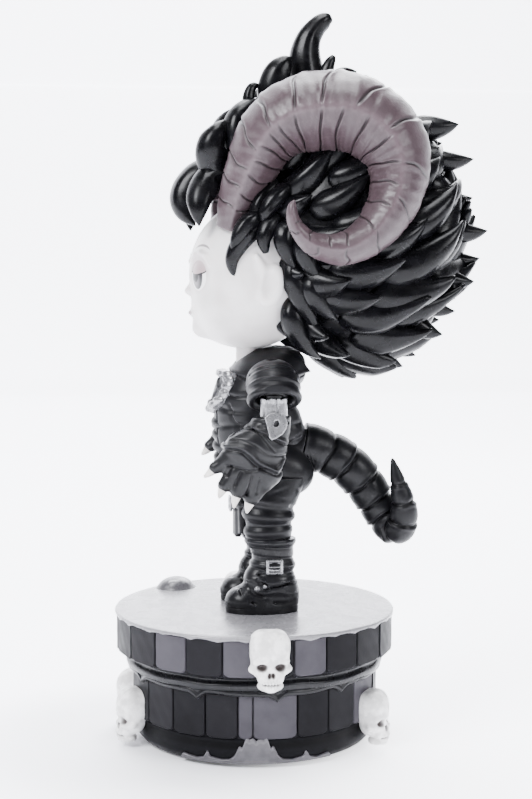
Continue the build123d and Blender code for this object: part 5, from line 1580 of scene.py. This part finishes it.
def claw_clay():
    clay = Clay((23.0, -17.4, 66.2), (30.0, -1.0, 82.0), 0.17)
    for knuckle, base, tip, wide, narrow in FINGERS:
        base, tip = np.array(base), np.array(tip)
        start = base + (base - tip) * 0.12
        bend = (start + tip) / 2 + np.array([0.0, -0.25, -0.35])
        line = curve_through([start, bend, tip], 9)
        sizes = np.linspace(narrow * 0.96, 0.45, 9)
        for a, b, ra, rb in zip(line[:-1], line[1:], sizes[:-1], sizes[1:]):
            clay.rod(a, b, ra, rb, soft=0.1)
    return clay


for name, clay, finish, slot, on_arm in (
    ("shoulder", shoulder_clay(), black_satin, "black_satin", False),
    ("bracer", bracer_clay(), silver_paint, "silver_paint", True),
    ("cuff_plate", cuff_clay(), silver_paint, "silver_paint", True),
    ("glove", glove_clay(), glove_grey, "glove_grey", True),
    ("claws", claw_clay(), claw_ivory, "claw_ivory", True),
):
    points, quads = clay.skin()
    hollow = hollowness(points, quads, 5)
    for hand, points, quads in both_hands(points, quads):
        if on_arm and hand == "right":
            points[:, 1] += HAND_SWING * np.maximum(SWING_BELOW - points[:, 2], 0)
        body = f"{hand}_arm" if on_arm else "figure"
        add_mesh(f"{name}_piece_{hand}", points, quads, body, [f"{name}_{hand}"], finish, slot, hollow=hollow)


# Head and face --------------------------------------------------------------------------------------------------
HEAD_HALF = (20.4, 18.5, 20.6)


def head_clay():
    clay = Clay((-23.4, -21.8, 109.6), (23.4, 20.0, 153.2), 0.36)
    clay.egg(HEAD, HEAD_HALF)
    clay.egg((0, -3.4, 121.6), (15.0, 14.4, 11.0), soft=2.0)
    for side in (-1, 1):
        clay.egg((side * 8.6, -10.6, 122.6), (6.4, 6.0, 5.4), soft=3.0)
        clay.egg((side * 8.4, -18.9, 131.0), (4.9, 2.6, 4.6), (0, 0, side * 26), soft=1.8, dig=True)
        clay.egg((side * 8.3, -15.0, 131.0), (4.6, 2.2, 4.3), (0, 0, side * 26), soft=0.5)
        brow = ((3.7, 135.0), (6.0, 137.0), (8.8, 137.5), (11.8, 136.4), (13.6, 134.2))
        clay.chain([on_face(side * x, z, 0.15) for x, z in brow], 0.42, soft=0.9)
        clay.egg((side * 19.9, 2.4, 128.4), (2.3, 3.6, 6.0), (-14, 0, side * -14), soft=0.6)
        clay.rod((side * 19.6, 1.2, 131.0), (side * 20.6, -1.6, 136.4), 1.9, 0.7, soft=0.9)
        clay.egg((side * 22.1, 1.9, 129.0), (1.4, 2.1, 4.4), (-14, 0, side * -14), soft=0.5, dig=True)
    clay.egg((0, -18.1, 127.0), (1.5, 1.7, 1.3), (18, 0, 0), soft=1.6)
    clay.egg((0, -17.3, 120.6), (2.9, 1.5, 0.8), soft=1.2)
    clay.chain([on_face(x, 120.9 + 0.012 * x * x, 0.75) for x in (-3.4, -1.7, 0, 1.7, 3.4)], 0.22, soft=0.4,
        dig=True)
    clay.egg((0, -14.4, 116.2), (3.6, 3.2, 2.6), soft=2.0)
    clay.rod((0, -1.5, 105), (0, -1.5, 118), 4.1, dig=True)
    clay.egg(HEAD, (18.4, 16.6, 18.7), dig=True)
    return clay


def on_face(x, z, out=0.0):
    """A point on the front of the head at that place across and height."""
    share = max(1 - (x / HEAD_HALF[0]) ** 2 - ((z - HEAD[2]) / HEAD_HALF[2]) ** 2, 0)
    return np.array([x, -HEAD_HALF[1] * math.sqrt(share) - out, z])


def face_finish():
    finish = Finish("white_vinyl", 0.38, coat=0.1)
    finish.shader.inputs["Subsurface Weight"].default_value = 0.12
    finish.shader.inputs["Subsurface Scale"].default_value = 0.002
    finish.shader.inputs["Subsurface Radius"].default_value = (1.0, 0.7, 0.6)
    cloud = finish.noise(9.0, 3.0, contrast=(0.35, 0.68))
    tone = finish.mix((0.66, 0.64, 0.635), (0.58, 0.55, 0.545), cloud)
    # Darker in the creases: painted shade.
    tone = finish.mix(tone, (0.45, 0.38, 0.38), finish.times(finish.remap(finish.read("hollow"), 0.15, 0.9),
        0.35))
    for side in (-1, 1):
        spin = side * 26
        shadow = finish.oval((side * 8.6, -16.0, 132.2), (6.4, 12, 6.6), spin, 0.62, 1.05)
        tone = finish.mix(tone, (0.30, 0.235, 0.245), finish.times(shadow, 0.5))
        white = finish.oval((side * 8.3, -16.0, 131.0), (4.5, 12, 4.1), spin, 0.97, 1.03)
        tone = finish.mix(tone, (0.75, 0.74, 0.74), white)
        ring = finish.oval((side * 8.0, -16.0, 130.9), (3.3, 12, 3.6), spin, 0.97, 1.03)
        tone = finish.mix(tone, (0.012, 0.011, 0.013), ring)
        iris = finish.oval((side * 8.0, -16.0, 130.3), (2.6, 12, 2.6), spin, 0.6, 1.0)
        tone = finish.mix(tone, (0.10, 0.09, 0.10), iris)
        pupil = finish.oval((side * 8.0, -16.0, 130.9), (1.5, 12, 1.7), spin, 0.9, 1.0)
        tone = finish.mix(tone, (0.004, 0.004, 0.005), pupil)
        glint = finish.oval((side * 8.0 + 1.2, -16.0, 132.4), (0.9, 12, 0.95), spin, 0.85, 1.0)
        tone = finish.mix(tone, (0.9, 0.9, 0.9), glint)
        lid = finish.oval((side * 8.3, -16.0, 135.4), (6.6, 12, 3.9), spin, 0.985, 1.015)
        open_eye = finish.oval((side * 8.3, -16.0, 131.0), (4.75, 12, 4.35), spin, 0.97, 1.03)
        tone = finish.mix(tone, (0.33, 0.255, 0.265), finish.times(lid, open_eye))
        lash = finish.oval((side * 8.35, -16.0, 135.4), (7.0, 12, 4.35), spin, 0.985, 1.015)
        tone = finish.mix(tone, (0.008, 0.007, 0.008),
            finish.times(finish.times(lash, finish.without(lid)), open_eye))
        brow = finish.oval((side * 8.6, -16.0, 137.6), (4.6, 12, 2.2), spin, 0.93, 1.03)
        under = finish.oval((side * 8.4, -16.0, 136.7), (5.6, 12, 2.4), spin, 0.95, 1.05)
        tone = finish.mix(tone, (0.07, 0.055, 0.06),
            finish.times(finish.times(brow, finish.without(under)), 0.8))
    lips = finish.oval((0, -18.0, 120.6), (3.0, 12, 0.85), 0, 0.75, 1.05)
    tone = finish.mix(tone, (0.22, 0.16, 0.17), finish.times(lips, 0.85))
    finish.colour(tone)
    finish.gloss(finish.noise(5.0, 3.0), 0.32, 0.46)
    finish.bump(finish.noise(0.8, 2.0), 0.012)
    return finish


white_vinyl = face_finish()
points, quads = head_clay().skin()
add_mesh("head_piece", points, quads, "head", ["head_shell"], white_vinyl, "white_vinyl",
         hollow=hollowness(points, quads, 4))


# Kept CAD parts: only their finish is set -----------------------------------------------------------------------
KEPT = {
    "neck": white_vinyl, "neck_plug": steel, "tail_peg": steel, "base_screws": steel, "boot_screws": steel,
    "arm_left": black_gloss, "arm_right": black_gloss, "arm_peg_left": steel, "arm_peg_right": steel,
}
for node, finish in KEPT.items():
    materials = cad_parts[node].data.materials
    materials.clear()
    materials.append(finish.material)


# Stage, light and camera ----------------------------------------------------------------------------------------
def plain(name, colour, roughness):
    material = bpy.data.materials.new(name)
    material.use_nodes = True
    shader = material.node_tree.nodes["Principled BSDF"]
    shader.inputs["Base Color"].default_value = (*colour, 1)
    shader.inputs["Roughness"].default_value = roughness
    shader.inputs["Emission Color"].default_value = (*colour, 1)
    return material


def shaded(material, centre, near, far, least, most):
    """Emission that falls off towards a point on the floor: a painted shadow where things stand on it."""
    tree = material.node_tree
    place = tree.nodes.new("ShaderNodeTexCoord")
    away = tree.nodes.new("ShaderNodeVectorMath")
    away.operation = "DISTANCE"
    away.inputs[1].default_value = centre
    ramp = tree.nodes.new("ShaderNodeMapRange")
    ramp.interpolation_type = "SMOOTHSTEP"
    for key, value in (("From Min", near), ("From Max", far), ("To Min", least), ("To Max", most)):
        ramp.inputs[key].default_value = value
    tree.links.new(place.outputs["Object"], away.inputs[0])
    tree.links.new(away.outputs["Value"], ramp.inputs["Value"])
    tree.links.new(ramp.outputs["Result"], tree.nodes["Principled BSDF"].inputs["Emission Strength"])
    return material


def backdrop():
    """A pale floor that sweeps up into a wall behind the figure, seen from the figure's left."""
    profile = [
        (1.6, 0.0), (0.4, 0.0), (-0.9, 0.0), (-1.15, 0.03), (-1.35, 0.14), (-1.46, 0.34), (-1.5, 0.6),
        (-1.5, 2.4),
    ]
    line = curve_through([profile[1], *profile[2:]], 160)
    line = np.concatenate([[profile[0]], line]) * 1000
    across = np.array([-3000.0, 3000.0])
    points = np.array([(x, y, z) for x, z in line for y in across])
    return points, grid_faces(len(line), 2, closed=False)


points, quads = backdrop()
floor_mesh = bpy.data.meshes.new("floor")
floor_mesh.from_pydata((points * MM).tolist(), [], quads.tolist())
floor = bpy.data.objects.new("floor", floor_mesh)
# The pale floor and wall glow evenly, but near the base the glow drops as a painted shadow.
floor.data.materials.append(
    shaded(plain("floor_pale", (0.925, 0.93, 0.97), 0.75), (0.008, -0.034, 0.0), near=0.028, far=0.078,
    least=0.15, most=2.6)
)
bpy.context.scene.collection.objects.link(floor)

world = bpy.data.worlds.new("studio")
bpy.context.scene.world = world
world.use_nodes = True
world.node_tree.nodes["Background"].inputs[0].default_value = (0.95, 0.96, 1.0, 1)
world.node_tree.nodes["Background"].inputs[1].default_value = 0.14

LAMP_COLOUR = (0.955, 0.965, 1.0)
CHEST = (0, 0, 0.1)
LAMPS = [
    # name, angle in degrees from the figure's left side, height, distance, size, power, what it points at
    ("key", -52, 0.62, 0.62, 0.34, 13.0, CHEST),
    ("fill", 46, 0.45, 0.75, 0.3, 4.5, CHEST),
    ("top", 0, 0.85, 0.1, 0.4, 9.0, CHEST),
    ("rim", 150, 0.55, 0.6, 0.4, 6.0, CHEST),
    ("wall_wash", 180, 1.5, 0.75, 0.8, 75.0, (-1.5, 0, 0.5)),
]
CAMERA_TURN = math.radians(-6.0)
CAMERA_TIP = math.radians(90 - 4.78)
CAMERA_AWAY = 0.427
CAMERA_HIGH = 0.1315
LENS, SENSOR, SIDE_SHIFT = 67.6, 36, 11.9 / 799


def lamp(name, angle, height, away, size, power, target):
    """A soft square lamp at an angle in degrees round the figure, counted from its left side."""
    light = bpy.data.lights.new(name, "AREA")
    light.shape, light.size, light.energy = "SQUARE", size, power
    light.color = LAMP_COLOUR
    made = bpy.data.objects.new(name, light)
    a = math.radians(angle)
    made.location = (away * math.cos(a), away * math.sin(a), height)
    aim(made, target)
    bpy.context.scene.collection.objects.link(made)


def aim(thing, target):
    thing.rotation_euler = (Vector(target) - Vector(thing.location)).to_track_quat("-Z", "Y").to_euler()


for row in LAMPS:
    lamp(*row)

camera = bpy.data.objects.new("camera", bpy.data.cameras.new("camera"))
camera.location = (
    CAMERA_AWAY * math.cos(CAMERA_TURN),
    CAMERA_AWAY * math.sin(CAMERA_TURN),
    CAMERA_HIGH,
)
camera.rotation_euler = (CAMERA_TIP, 0, math.radians(90) + CAMERA_TURN)
camera.data.lens = LENS
camera.data.sensor_width = SENSOR
camera.data.clip_start = 0.01
camera.data.clip_end = 20
camera.data.shift_x = SIDE_SHIFT
bpy.context.scene.collection.objects.link(camera)
bpy.context.scene.camera = camera
